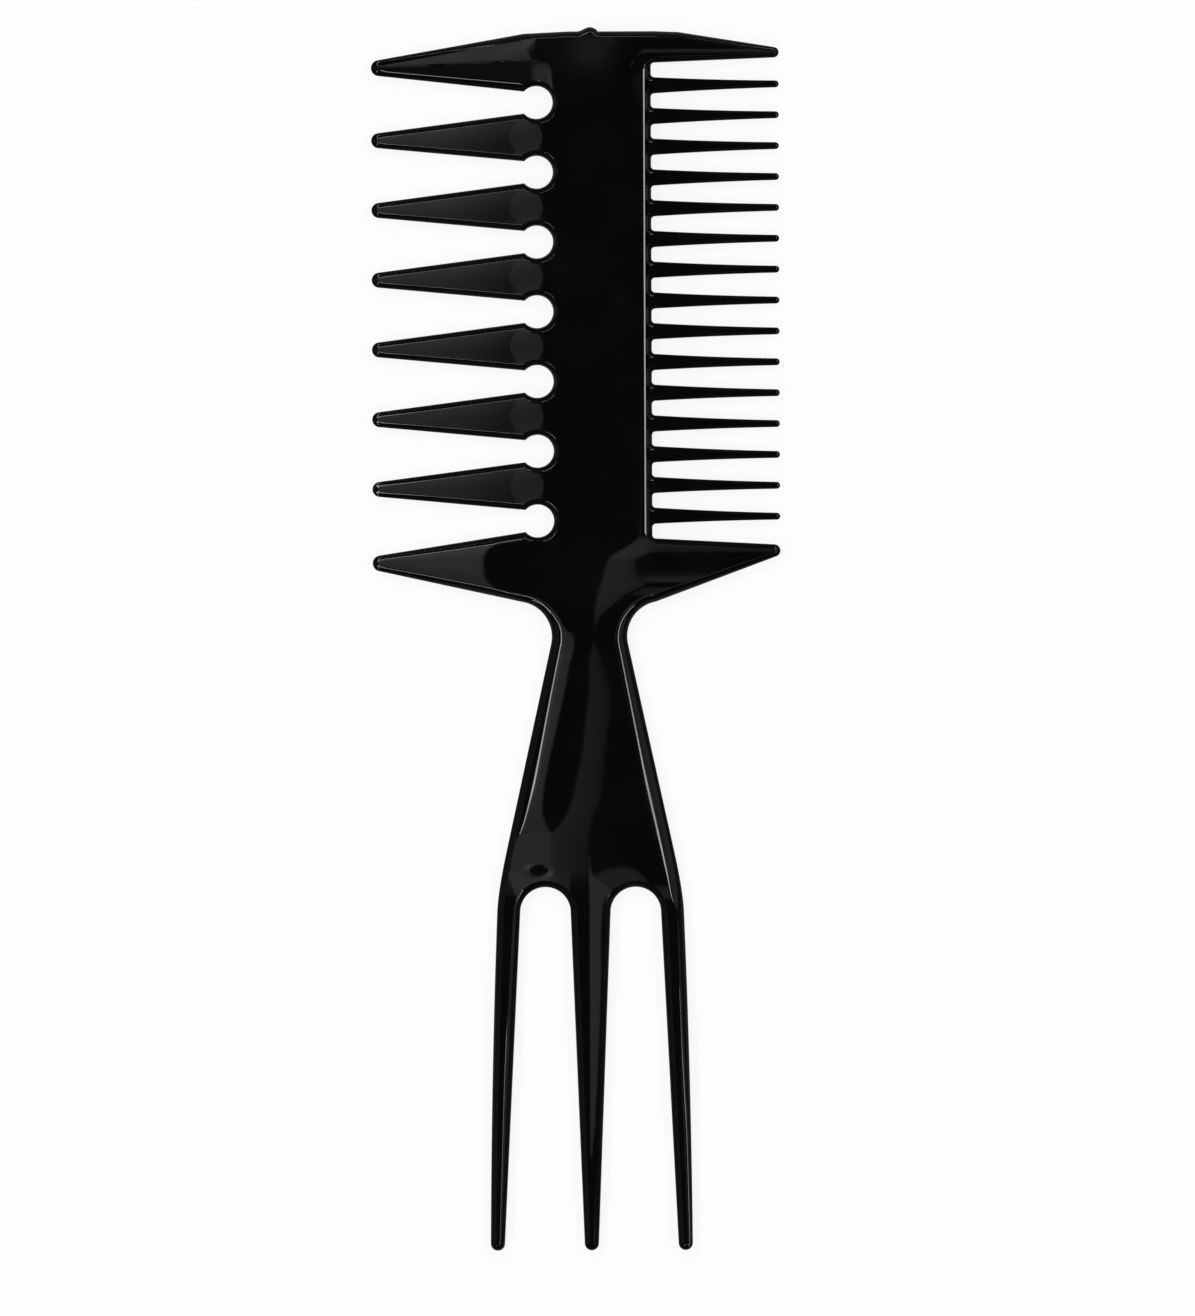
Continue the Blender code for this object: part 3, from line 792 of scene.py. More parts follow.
@dataclass(frozen=True)
class WideRow(Region):
    """The eight wide teeth on the left and the seven keyholes between them."""

    neck: Neck
    count: int = 8
    pitch: float = 12.868 * MM
    reach: float = 39.96 * MM
    tip_radius: float = 1.4 * MM
    guard_radius: float = 1.48 * MM
    droop: float = 0.5 * MM
    taper_start: float = 8.16 * MM
    taper_blur: float = 0.4 * MM
    first_slope: float = slope(1.1)
    last_slope: float = slope(3.6)
    crown: float = 11.0
    crown_up: float = 0.6 * MM
    crown_grows: float = 6 * MM
    keyhole_radius: float = 3.03 * MM
    keyhole_out: float = 9.49 * MM
    keyhole_down: float = 13.08 * MM
    throat_share: float = 0.67
    top_drop: float = 0.4 * MM
    top_tip_down: float = 6.62 * MM
    low_tip_rise: float = 7.31 * MM
    low_taper_start: float = 19.5 * MM
    low_taper_spread: float = 7.0 * MM
    low_taper_power: int = 4
    low_blur: float = 0.5 * MM
    low_tip_half: float = 1.05 * MM
    upper_out: float = 10.4 * MM
    upper_blur: float = 0.15 * MM
    upper_slope: float = slope(2.5)
    upper_start: Track = Track((-5.6, 9.4), (-5.1, 10), (-3.4, 11.2), (-1.46, 10), (0, 10))
    start_out: float = 11.5 * MM
    start_fades: float = 4 * MM
    upper_lean: float = slope(1.6)
    lean_out: float = 9 * MM
    lean_grows: float = 3 * MM
    lean_blur: float = 0.2 * MM
    lower_lean: float = slope(7.9)
    lower_out: float = 6.3 * MM
    lower_grows: float = 4.7 * MM
    lower_blur: float = 0.1 * MM
    brink: Track = Track((-36.9, -6.25), (-10, -5.1), (-4, -5))
    brink_wide: float = 0.2 * MM
    brink_ends: tuple[float, float] = (-10 * MM, -37 * MM)

    @property
    def marked(self) -> bool:
        """Return True: the ejector pins left their discs here."""
        return True

    @property
    def throat_half(self) -> float:
        """Return half the width of a keyhole's opening."""
        return self.keyhole_radius * self.throat_share

    @property
    def throat_out(self) -> float:
        """Return how far out the keyholes open."""
        return self.keyhole_out + math.sqrt(self.keyhole_radius**2 - self.throat_half**2)

    def name(self, number: int) -> str:
        """Return the name of a tooth, counted from nought at the top."""
        return f"wide_tooth_{number + 1:02d}"

    def names(self) -> list[str]:
        """Return the names of all teeth."""
        return [self.name(number) for number in range(self.count)]

    def keyhole(self, number: int) -> Vector:
        """Return the centre of a keyhole, counted from nought at the top."""
        return point(-self.keyhole_out, -(self.keyhole_down + self.pitch * number))

    def corners(self, number: int) -> tuple[Vector, Vector]:
        """Return the root corners of a tooth.

        Args:
            number: the tooth's number.

        Returns:
            The upper and the lower corner.
        """
        upper = point(-self.throat_out, self.keyhole(number - 1).y - self.throat_half)
        lower = point(-self.throat_out, self.keyhole(number).y + self.throat_half)
        if number == 0:
            upper.y = -self.top_drop
        if number == self.count - 1:
            lower = self.neck.fillet_point(-1, self.throat_out)
        return upper, lower

    def tip(self, number: int) -> tuple[Vector, float]:
        """Return the rounded end of a tooth.

        Args:
            number: the tooth's number.

        Returns:
            The end's centre and its radius.
        """
        upper, lower = self.corners(number)
        guard_x = self.guard_radius - self.reach
        if number == 0:
            return point(guard_x, -self.top_tip_down), self.guard_radius
        if number == self.count - 1:
            return point(guard_x, self.low_tip_rise - self.neck.head_depth), self.guard_radius
        middle = (upper.y + lower.y) / 2 - self.droop
        return point(self.tip_radius - self.reach, middle), self.tip_radius

    def trace(self, contour: Contour) -> None:
        """Draw the whole row on the outline, from the top tooth to the bottom one.

        Args:
            contour: the outline.
        """
        guards = {0: (GUARD_TOP_EDGE, GUARD_EDGE), self.count - 1: (GUARD_EDGE, GUARD_EDGE)}
        opening = math.acos((self.keyhole_out - self.throat_out) / self.keyhole_radius)
        for number, name in enumerate(self.names()):
            upper, lower = self.corners(number)
            centre, radius = self.tip(number)
            above, below = guards.get(number, (HEAD_EDGE, HEAD_EDGE))
            rounded = tip_arc(centre, radius, upper, lower, math.pi)
            contour.run(name, line(upper, rounded[0]), above, above.inside(radius))
            contour.run(name, rounded, WIDE_TIP_EDGE.inside(radius))
            contour.run(name, line(rounded[-1], lower), below.inside(radius), below)
            contour.share("spine")
            if number < self.count - 1:
                hole = arc(self.keyhole(number), self.keyhole_radius, opening, -opening)
                contour.run("spine", hole, KEYHOLE_EDGE)
                contour.share(self.name(number + 1))

    def fall(self, x: float, y: float) -> float:
        """Return how far the row's face lies below the plate's.

        Args:
            x: place across the comb.
            y: place along it.

        Returns:
            The distance.
        """
        if y > self.keyhole(0).y:
            return self._top_fall(x, y)
        if y < self.keyhole(self.count - 2).y:
            return self._low_fall(x, y)
        run = ramp(-x - self.taper_start, self.taper_blur)
        length = self.reach - self.taper_start
        bend = (self.last_slope - self.first_slope) / length
        number = round((self.keyhole(0).y + self.pitch / 2 - y) / self.pitch)
        upper, lower = self.corners(number)
        away = y - mix((upper.y + lower.y) / 2 + self.crown_up, self.tip(number)[0].y, run / length)
        crown = self.crown * away * away * eased(run / self.crown_grows)
        return run * self.first_slope + run * run * bend / 2 + crown

    def _top_fall(self, x: float, y: float) -> float:
        """Return how far the top guard falls away, in two facets that meet at a brink.

        Args:
            x: place across the comb.
            y: place along it.

        Returns:
            The distance.
        """
        plain = ramp(-x - self.upper_out, self.upper_blur)
        notched = ramp(-x - self.upper_start.at(y), self.upper_blur)
        upper = mix(notched, plain, (-x - self.start_out) / self.start_fades) * self.upper_slope
        lower = plain * self.upper_slope
        brink = self.brink.at(x)
        grown = eased((-x - self.lean_out) / self.lean_grows)
        upper += ramp(y - brink, self.lean_blur) * self.upper_lean * grown
        grown = eased((-x - self.lower_out) / self.lower_grows)
        lower += ramp(brink - y, self.lower_blur) * self.lower_lean * grown
        return mix(upper, lower, (brink - y) / self.brink_wide)

    def _low_fall(self, x: float, y: float) -> float:
        """Return how far the bottom guard falls away, which is flat at first.

        Args:
            x: place across the comb.
            y: place along it.

        Returns:
            The distance.
        """
        upper, lower = self.corners(self.count - 1)
        centre, radius = self.tip(self.count - 1)
        share = held((-x - self.throat_out) / (self.reach - self.throat_out))
        middle = mix((upper.y + lower.y) / 2, centre.y, share)
        wide = mix((upper.y - lower.y) / 2, radius, share)
        away = min(abs(y - middle) / wide, 1)
        start = self.low_taper_start - self.low_taper_spread * away**self.low_taper_power
        steep = (HALF_THICK - self.low_tip_half) / (self.reach - self.low_taper_start)
        return ramp(-x - start, self.low_blur) * steep

    def creases(self, name: str) -> list[Line]:
        """Return the brink of the top guard, and nothing for the other teeth."""
        start, end = (point(x, self.brink.at(x)) for x in self.brink_ends)
        return [(start, end - start)] if name == self.name(0) else []


@dataclass(frozen=True)
class FineRow(Region):
    """The seventeen fine teeth on the right: fifteen slim ones between two guards."""

    neck: Neck
    count: int = 17
    reach: float = 35.28 * MM
    root: float = 11.67 * MM
    root_fillet: float = 0.65 * MM
    root_width: float = 2.97 * MM
    tip_radius: float = 0.64 * MM
    bow_share: float = 0.13
    fan: float = 0.2 * MM
    web_half: float = 1.35 * MM
    tip_half: float = 0.62 * MM
    guard_tip_half: float = 1.05 * MM
    top_root: float = 5.79 * MM
    low_root: float = 11.73 * MM
    top_tip_down: float = 3.96 * MM
    low_tip_rise: float = 9.42 * MM
    top_radius: float = 0.97 * MM
    low_radius: float = 1.15 * MM
    kink_out: float = 4.5 * MM
    kink_drop: float = 0.18 * MM

    @property
    def seam(self) -> float:
        """Return how far out the teeth start."""
        return self.root + self.root_fillet

    @property
    def pitch(self) -> float:
        """Return the spacing of the teeth."""
        span = self.neck.head_depth - self.top_root - self.low_root
        return (span + self.root_width) / (self.count - 1)

    @property
    def top(self) -> float:
        """Return the Y of the top guard's inner edge."""
        return self.middle(0) - self.root_width / 2

    @property
    def bottom(self) -> float:
        """Return the Y of the bottom guard's inner edge."""
        return self.middle(self.count - 1) + self.root_width / 2

    def name(self, number: int) -> str:
        """Return the name of a tooth, counted from nought at the top."""
        return f"fine_tooth_{number + 1:02d}"

    def names(self) -> list[str]:
        """Return the names of all teeth."""
        return [self.name(number) for number in range(self.count)]

    def middle(self, number: int) -> float:
        """Return the Y of a tooth's middle at its root, as if all were slim."""
        return -(self.top_root - self.root_width / 2 + self.pitch * number)

    def trace(self, contour: Contour) -> None:
        """Draw the whole row on the outline, from the bottom tooth to the top one.

        Args:
            contour: the outline.
        """
        last = self.count - 1
        corners = self.neck.fillet_point(1, self.seam), point(self.seam, self.bottom)
        tip = point(self.reach - self.low_radius, self.low_tip_rise - self.neck.head_depth)
        self._trace_guard(contour, last, corners, tip, self.low_radius, GUARD_EDGE)
        for number in range(last, 0, -1):
            self._trace_gap(contour, number)
            if number > 1:
                self._trace_slim(contour, number - 1)
        kink = point(self.seam + self.kink_out, -self.kink_drop)
        corners = point(self.seam, self.top), kink, point(self.seam, 0)
        tip = point(self.reach - self.top_radius, -self.top_tip_down)
        self._trace_guard(contour, 0, corners, tip, self.top_radius, HEAD_EDGE)
        contour.share("spine")

    def _trace_guard(
        self,
        contour: Contour,
        number: int,
        corners: tuple[Vector, ...],
        tip: Vector,
        radius: float,
        below: Edge,
    ) -> None:
        """Draw a guard tooth.

        Args:
            contour: the outline.
            number: the tooth's number.
            corners: the point below its rounded end, then those above it.
            tip: centre of the rounded end.
            radius: radius of the rounded end.
            below: edge at the lower root.
        """
        name, small = self.name(number), HEAD_EDGE.inside(radius)
        lower, *upper = corners
        rounded = tip_arc(tip, radius, lower, upper[0], 0)
        contour.run(name, line(lower, rounded[0]), below, small)
        contour.run(name, rounded, small)
        path = [rounded[-1], *upper]
        for start, end in zip(path, path[1:]):
            contour.run(name, line(start, end), HEAD_EDGE)
        contour.share("spine")

    def _trace_gap(self, contour: Contour, number: int) -> None:
        """Draw the two rounded root corners above a tooth.

        Args:
            contour: the outline.
            number: the tooth's number.
        """
        bottom = self.middle(number) + self.root_width / 2
        top = self.middle(number - 1) - self.root_width / 2
        radius = self.root_fillet
        low, high = point(self.seam, bottom + radius), point(self.seam, top - radius)
        corners = [*arc(low, radius, -math.pi / 2, -math.pi), *arc(high, radius, math.pi, math.pi / 2)]
        contour.run("spine", corners, POCKET_EDGE)
        contour.share(self.name(number - 1))

    def _trace_slim(self, contour: Contour, number: int) -> None:
        """Draw a slim tooth, which bows in a little from a wider root.

        Args:
            contour: the outline.
            number: the tooth's number.
        """
        name = self.name(number)
        root = point(self.seam, self.middle(number))
        fan = self.fan * (1 - number * 2 / (self.count - 1))
        tip = root + point(self.reach - self.tip_radius - root.x, fan)
        spare = self.root_width / 2 - self.tip_radius
        steps = math.ceil((tip - root).length / STEP)
        sides: dict[int, Points] = {-1: [], 1: []}
        for side, places in sides.items():
            for t in (step / steps for step in range(steps + 1)):
                half = self.tip_radius + spare * (1 - t) * (1 - 4 * self.bow_share * t)
                places.append(root.lerp(tip, t) + point(0, side * half))
        end = arc(tip, self.tip_radius, -math.pi / 2, math.pi / 2)
        contour.run(name, sides[-1], FINE_EDGE)
        contour.run(name, end, FINE_EDGE, FINE_TIP_EDGE, FINE_EDGE)
        contour.run(name, sides[1][::-1], FINE_EDGE)
        contour.share("spine")

    def slim_half(self, x: float) -> float:
        """Return the half thickness of a slim tooth, without the rounding of its edges."""
        return mix(self.web_half, self.tip_half, (x - self.seam) / (self.reach - self.seam))

    def fall(self, x: float) -> float:
        """Return how far the guards' face lies below the plate's."""
        share = (x - self.seam) / (self.reach - self.seam)
        return mix(0, HALF_THICK - self.guard_tip_half, share)


@dataclass(frozen=True)
class Spine(Region):
    """The plate that carries both rows, with the step down to the fine row."""

    plate: Plate
    wide: WideRow
    fine: FineRow
    step_back: float = 1.4 * MM
    step_width: float = 0.75 * MM
    step_lip: float = 0.3 * MM
    step_lip_share: float = 0.092
    step_corner: float = 0.9 * MM
    shelf_reach: float = 2.55 * MM
    shelf_wide: float = 0.85 * MM
    shelf_slope: float = slope(6)
    shelf_down: float = 6.0 * MM
    shelf_fade: float = 9.0 * MM
    shelf_blur: float = 0.2 * MM
    crown_out: float = 3.5 * MM
    gate_half: float = 1.92 * MM
    gate_height: float = 0.8 * MM
    gate_peak_out: float = 0.45 * MM
    gate_steps: int = 12

    @property
    def marked(self) -> bool:
        """Return True: the ejector pins left their discs here."""
        return True

    @property
    def step_inner(self) -> float:
        """Return how far out the step down to the fine row starts."""
        return self.fine.root - self.step_back

    def names(self) -> list[str]:
        """Return the plate's name."""
        return ["spine"]

    def trace_top(self, contour: Contour) -> None:
        """Draw the top edge from right to left, with the low dome of the gate's scar.

        Args:
            contour: the outline.
        """
        left, crown = self.wide.corners(0)[0], point(-self.crown_out, 0)
        contour.run("spine", line(point(self.fine.seam, 0), point(self.gate_half, 0)), HEAD_EDGE)
        for step in range(1, self.gate_steps):
            x = mix(self.gate_half, -self.gate_half, step / self.gate_steps)
            share = 1 - abs(x - self.gate_peak_out) / (self.gate_half + self.gate_peak_out)
            contour.add("spine", point(x, self.gate_height * eased(share)), HEAD_EDGE)
        contour.run("spine", line(point(-self.gate_half, 0), crown), HEAD_EDGE)
        contour.run("spine", line(crown, left), HEAD_EDGE)
        contour.share(self.wide.name(0))

    def half(self, x: float, y: float) -> float:
        """Return the half thickness on the spine, without the rounding of its edges.

        Args:
            x: place across the comb.
            y: place along it.

        Returns:
            The half thickness there.
        """
        face = self.plate.half(x, y)
        if x < 0:
            face -= self.wide.fall(x, y)
        face -= self.shelf(x, y)
        inside = self.inside(x, y)
        if inside <= 0:
            return face
        web = self.fine.web_half
        lip = face - (HALF_THICK - web) * self.step_lip_share
        if inside < self.step_lip:
            return mix(face, lip, inside / self.step_lip)
        return mix(lip, web, (inside - self.step_lip) / (self.step_width - self.step_lip))

    def inside(self, x: float, y: float) -> float:
        """Return how far a place lies inside the rounded outline of the step.

        Args:
            x: place across the comb.
            y: place along it.

        Returns:
            The distance, which is below nought outside.
        """
        across = x - self.step_inner
        along = min(self.fine.top - y, y - self.fine.bottom)
        corner = self.step_corner
        if across > corner and along > corner:
            return min(across, along)
        return corner - math.hypot(max(corner - across, 0), max(corner - along, 0))

    def shelf(self, x: float, y: float) -> float:
        """Return how far the face leans down to the step round its upper corner.

        Args:
            x: place across the comb.
            y: place along it.

        Returns:
            The distance.
        """
        if y < -self.shelf_down - self.shelf_fade or x < 0:
            return 0.0
        fade = 1 - eased((-y - self.shelf_down) / self.shelf_fade)
        into = self.inside(x, y) + self.shelf_reach
        fallen = ramp(into, self.shelf_blur) - ramp(into - self.shelf_wide, self.shelf_blur)
        return fallen * self.shelf_slope * fade

    def creases(self, name: str) -> list[Line]:
        """Return the lines along which the face steps down to the fine row.

        Args:
            name: the plate's name, which is not used.

        Returns:
            The lines, three for each side of the step.
        """
        steps = (0, self.step_lip, self.step_width)
        lines = [(point(self.step_inner + step, 0), point(0, 1)) for step in steps]
        for y, side in ((self.fine.top, -1), (self.fine.bottom, 1)):
            lines += [(point(0, y + side * step), point(1, 0)) for step in steps]
        return lines


@dataclass(frozen=True)
class Handle(Region):
    """The handle, which widens from the neck to the shoulders."""

    neck: Neck
    shoulder_half: float = 15.45 * MM
    shoulder_below: float = 39.51 * MM
    arch_below: float = 50.86 * MM
    fork_half: float = 17.24 * MM
    arch_radius: float = 4.65 * MM
    arch_out: float = 8.34 * MM
    bow: float = 0.5 * MM
    spread: float = 1.4 * MM
    prong_length: float = 62.4 * MM
    neck_fades: float = 26 * MM
    left_fades: tuple[float, float] = (138 * MM, 146 * MM)
    right_fades: tuple[float, float] = (150 * MM, 159 * MM)
    fade_end: float = 3.0 * MM
    prong_radius: float = 1.31 * MM

    @property
    def arch_down(self) -> float:
        """Return how far the fork's arches lie below the head's top edge."""
        return self.neck.down + self.arch_below

    @property
    def end_down(self) -> float:
        """Return how far the prong tips lie below the head's top edge."""
        return self.arch_down + self.prong_length

    def names(self) -> list[str]:
        """Return the handle's name."""
        return ["handle"]

    def prong_side(self) -> tuple[Vector, Vector, Vector]:
        """Work out the outer side of the right prong.

        Returns:
            The three points that steer it, from the top to the tip.
        """
        start = point(self.fork_half, -self.arch_down)
        end = point(self.fork_half + self.spread, self.prong_radius - self.end_down)
        return start, (start + end) / 2 + point(self.bow, 0), end

    def side(self, out: float, fades: tuple[float, float]) -> list[tuple[Vector, Edge]]:
        """Return the right side from the head down to the fork, with its edges.

        Args:
            out: how far out the side leaves the head.
            fades: how far down its soft edge starts and ends to tighten.

        Returns:
            Each point of the side with the edge at it.
        """
        neck = self.neck
        fillet = point(neck.half + neck.fillet, -neck.down)
        shoulder = point(self.shoulder_half, -neck.down - self.shoulder_below)
        leave = neck.fillet_point(1, out) - fillet
        start = math.atan2(leave.y, leave.x)
        end = tangent_angle(shoulder, fillet, neck.fillet, -1) % math.tau
        waist = arc(fillet, neck.fillet, start, end)
        first, bow, _ = self.prong_side()
        middle = crossing((shoulder, shoulder - waist[-1]), (first, bow - first))
        places = [*waist, *line(waist[-1], shoulder)[1:], *curve(shoulder, middle, first)[1:]]
        return [(place, self._edge(-place.y, fades)) for place in places]

    def _edge(self, down: float, fades: tuple[float, float]) -> Edge:
        """Return the edge of one of the handle's sides.

        Args:
            down: how far below the head's top edge.
            fades: how far down the soft edge starts and ends to tighten.

        Returns:
            The edge there.
        """
        neck = self.neck
        if down < neck.down:
            return GUARD_EDGE.towards(NECK_EDGE, (down - neck.head_depth) / (neck.down - neck.head_depth))
        if down < fades[0]:
            return NECK_EDGE.towards(HANDLE_EDGE, (down - neck.down) / self.neck_fades)
        if down < fades[1]:
            share = (down - fades[0]) / (fades[1] - fades[0])
            return HANDLE_EDGE.towards(THIN_HANDLE_EDGE, share)
        return THIN_HANDLE_EDGE.towards(PRONG_EDGE, (down - fades[1]) / self.fade_end)

    def trace_left(self, contour: Contour, out: float) -> None:
        """Draw the left side from the head down to the fork.

        Args:
            contour: the outline.
            out: how far out the side leaves the head.
        """
        contour.share("handle", "spine")
        for place, edge in self.side(out, self.left_fades):
            contour.add("handle", point(-place.x, place.y), edge)

    def trace_right(self, contour: Contour, fine: FineRow) -> None:
        """Draw the right side from the fork up to the head.

        Args:
            contour: the outline.
            fine: the fine row, whose bottom guard the side leads to.
        """
        for place, edge in reversed(self.side(fine.seam, self.right_fades)):
            contour.add("handle", place, edge)
        contour.share("handle", "spine", fine.name(fine.count - 1))


@dataclass(frozen=True)
class Fork(Region):
    """The three prongs of the lifting fork."""

    plate: Plate
    handle: Handle
    centre_half: float = 3.69 * MM
    tip_half: float = 1.25 * MM
    blend_length: float = 40 * MM
    band_slope: float = slope(3.4)
    band_left: float = -0.15 * MM
    band_left_blur: float = 0.1 * MM
    band_right: Track = Track(
        (-154, 9.5), (-156.5, 8.5), (-158.5, 5), (-160.5, 2.6), (-175, 2), (-185, 1.6),
        (-198, 0.9), (-206, 0.3), (-209, -0.15))
    band_right_blur: float = 0.2 * MM
    relief_down: float = 152 * MM
    relief_blend: float = 0.02 * MM
    lobe_rise: float = slope(3.6)
    lobe_blur: float = 0.8 * MM
    lobe_top: Track = Track(
        (-0.15, -156.2), (0.2, -155.7), (1.5, -155.1), (3.4, -154.4), (6.2, -154.1),
        (8, -154.4), (9.2, -155.2), (10.2, -156.3), (11.2, -157.7))
    glint_shares: tuple[float, float] = (0.93, 0.78)

    def names(self) -> list[str]:
        """Return the names of the three prongs."""
        return ["prong_left", "prong_centre", "prong_right"]

    def trace(self, contour: Contour) -> None:
        """Draw the fork on the outline from left to right.

        Args:
            contour: the outline.
        """
        edges = (PRONG_TIP_EDGE, FAINT_PRONG_EDGE, LINED_PRONG_EDGE)
        small, faint, lined = (edge.inside(self.handle.prong_radius) for edge in edges)
        left, centre, right = self.names()
        inner, end, outer = self._outer_prong()
        flipped = [[point(-place.x, place.y) for place in side[::-1]] for side in (outer, end, inner)]
        contour.share(left, "handle")
        contour.run(left, flipped[0], PRONG_EDGE, small)
        contour.run(left, flipped[1], small, faint)
        contour.run(left, flipped[2], faint, FAINT_PRONG_EDGE, PRONG_EDGE)
        contour.share("handle")
        self._trace_arch(contour, -1)
        contour.share(centre)
        falling, tip, rising = self._centre_prong()
        contour.run(centre, falling, PRONG_EDGE, small)
        contour.run(centre, tip, small)
        contour.run(centre, rising, small, PRONG_EDGE)
        contour.share("handle")
        self._trace_arch(contour, 1)
        contour.share(right)
        contour.run(right, inner, PRONG_EDGE, small)
        contour.run(right, end, small, lined)
        contour.run(right, outer, lined, LINED_PRONG_EDGE, THIN_PRONG_EDGE, PRONG_EDGE)
        contour.share("handle")

    def _outer_prong(self) -> tuple[Points, Points, Points]:
        """Work out the right prong's outline.

        Returns:
            Its inner side, its rounded end and its outer side.
        """
        handle = self.handle
        start, bow, end = handle.prong_side()
        tip = point(end.x - handle.prong_radius, end.y)
        inner = point(handle.arch_out + handle.arch_radius, -handle.arch_down)
        touch = tangent_angle(inner, tip, handle.prong_radius, 1) % math.tau - math.tau
        rounded = arc(tip, handle.prong_radius, touch, 0)
        return line(inner, rounded[0]), rounded, curve(start, bow, end)[::-1]

    def _centre_prong(self) -> tuple[Points, Points, Points]:
        """Work out the centre prong's outline.

        Returns:
            Its left side, its rounded end and its right side.
        """
        handle = self.handle
        tip = point(0, handle.prong_radius - handle.end_down)
        left, right = (point(side * self.centre_half, -handle.arch_down) for side in (-1, 1))
        rounded = tip_arc(tip, handle.prong_radius, left, right, -math.pi / 2)
        return line(left, rounded[0]), rounded, line(rounded[-1], right)

    def _trace_arch(self, contour: Contour, side: int) -> None:
        """Draw the arch on one side of the centre prong.

        Args:
            contour: the outline.
            side: 1 on the right and -1 on the left.
        """
        handle = self.handle
        centre = point(side * handle.arch_out, -handle.arch_down)
        start, end = (math.pi * share for share in self.glint_shares)
        turns = ((math.pi, start, ARCH_EDGE), (start, end, GLINT_EDGE), (end, 0, ARCH_EDGE))
        for first, last, edge in turns:
            contour.run("handle", arc(centre, handle.arch_radius, first, last), edge)

    def half(self, x: float, y: float) -> float:
        """Return the half thickness on the fork, without the rounding of its edges.

        Args:
            x: place across the comb.
            y: place along it.

        Returns:
            The half thickness there.
        """
        down = -self.handle.arch_down - y
        plain = mix(HALF_THICK, self.tip_half, down / self.handle.prong_length)
        return mix(self.plate.half(x, y), plain, eased(down / self.blend_length))

    def relief(self, x: float, y: float) -> float:
        """Return the height of the facets that run from the arches into the centre prong.

        Args:
            x: place across the comb.
            y: place along it.

        Returns:
            The lower one of the long band and the rounded lobe, softly joined.
        """
        if -y < self.relief_down:
            return 0.0
        wide = max(self.band_right.at(y) - self.band_left, 0.0)
        right = ramp(x - self.band_left - wide, self.band_right_blur)
        band = (ramp(x - self.band_left, self.band_left_blur) - right) * self.band_slope
        rise = ramp(self.lobe_top.at(max(x, self.band_left)) - y, self.lobe_blur) * self.lobe_rise
        return (band + rise - math.hypot(band - rise, self.relief_blend)) / 2


class Comb:
    """The whole moulding: one outline, one relief and the pieces made from them."""

    def __init__(self) -> None:
        """Draw the outline."""
        self.neck = Neck()
        self.plate = Plate()
        self.wide = WideRow(self.neck)
        self.fine = FineRow(self.neck)
        self.spine = Spine(self.plate, self.wide, self.fine)
        self.handle = Handle(self.neck)
        self.fork = Fork(self.plate, self.handle)
        self.profile = Profile()
        height = self.handle.end_down - self.spine.gate_height
        self.origin = Vector(((self.wide.reach - self.fine.reach) / 2, height / 2, HALF_THICK))
        self.contour = Contour()
        self.wide.trace(self.contour)
        self.handle.trace_left(self.contour, self.wide.throat_out)
        self.fork.trace(self.contour)
        self.handle.trace_right(self.contour, self.fine)
        self.fine.trace(self.contour)
        self.spine.trace_top(self.contour)
        self.contour.close()

    def regions(self) -> tuple[Region, ...]:
        """Return the comb's regions, in the order in which they are built."""
        return self.spine, self.wide, self.fine, self.handle, self.fork

    def half(self, x: float, y: float) -> float:
        """Return the half thickness anywhere, without the rounding of the edges.

        Args:
            x: place across the comb.
            y: place along it.

        Returns:
            The half thickness there.
        """
        if -y > self.handle.arch_down:
            return self.fork.half(x, y) + self.fork.relief(x, y)
        if -y > self.neck.down:
            return self.plate.half(x, y) + self.fork.relief(x, y)
        if x > self.fine.seam:
            if self.fine.bottom < y < self.fine.top:
                return self.fine.slim_half(x)
            return self.plate.half(x, y) - self.fine.fall(x) - self.spine.shelf(x, y)
        if x < -self.wide.throat_out:
            return self.plate.half(x, y) - self.wide.fall(x, y)
        return self.spine.half(x, y)


Node = bpy.types.Node
Socket = bpy.types.NodeSocket
VECTOR = "NodeSocketVector"
COLOUR = "NodeSocketColor"
NUMBER = "NodeSocketFloat"


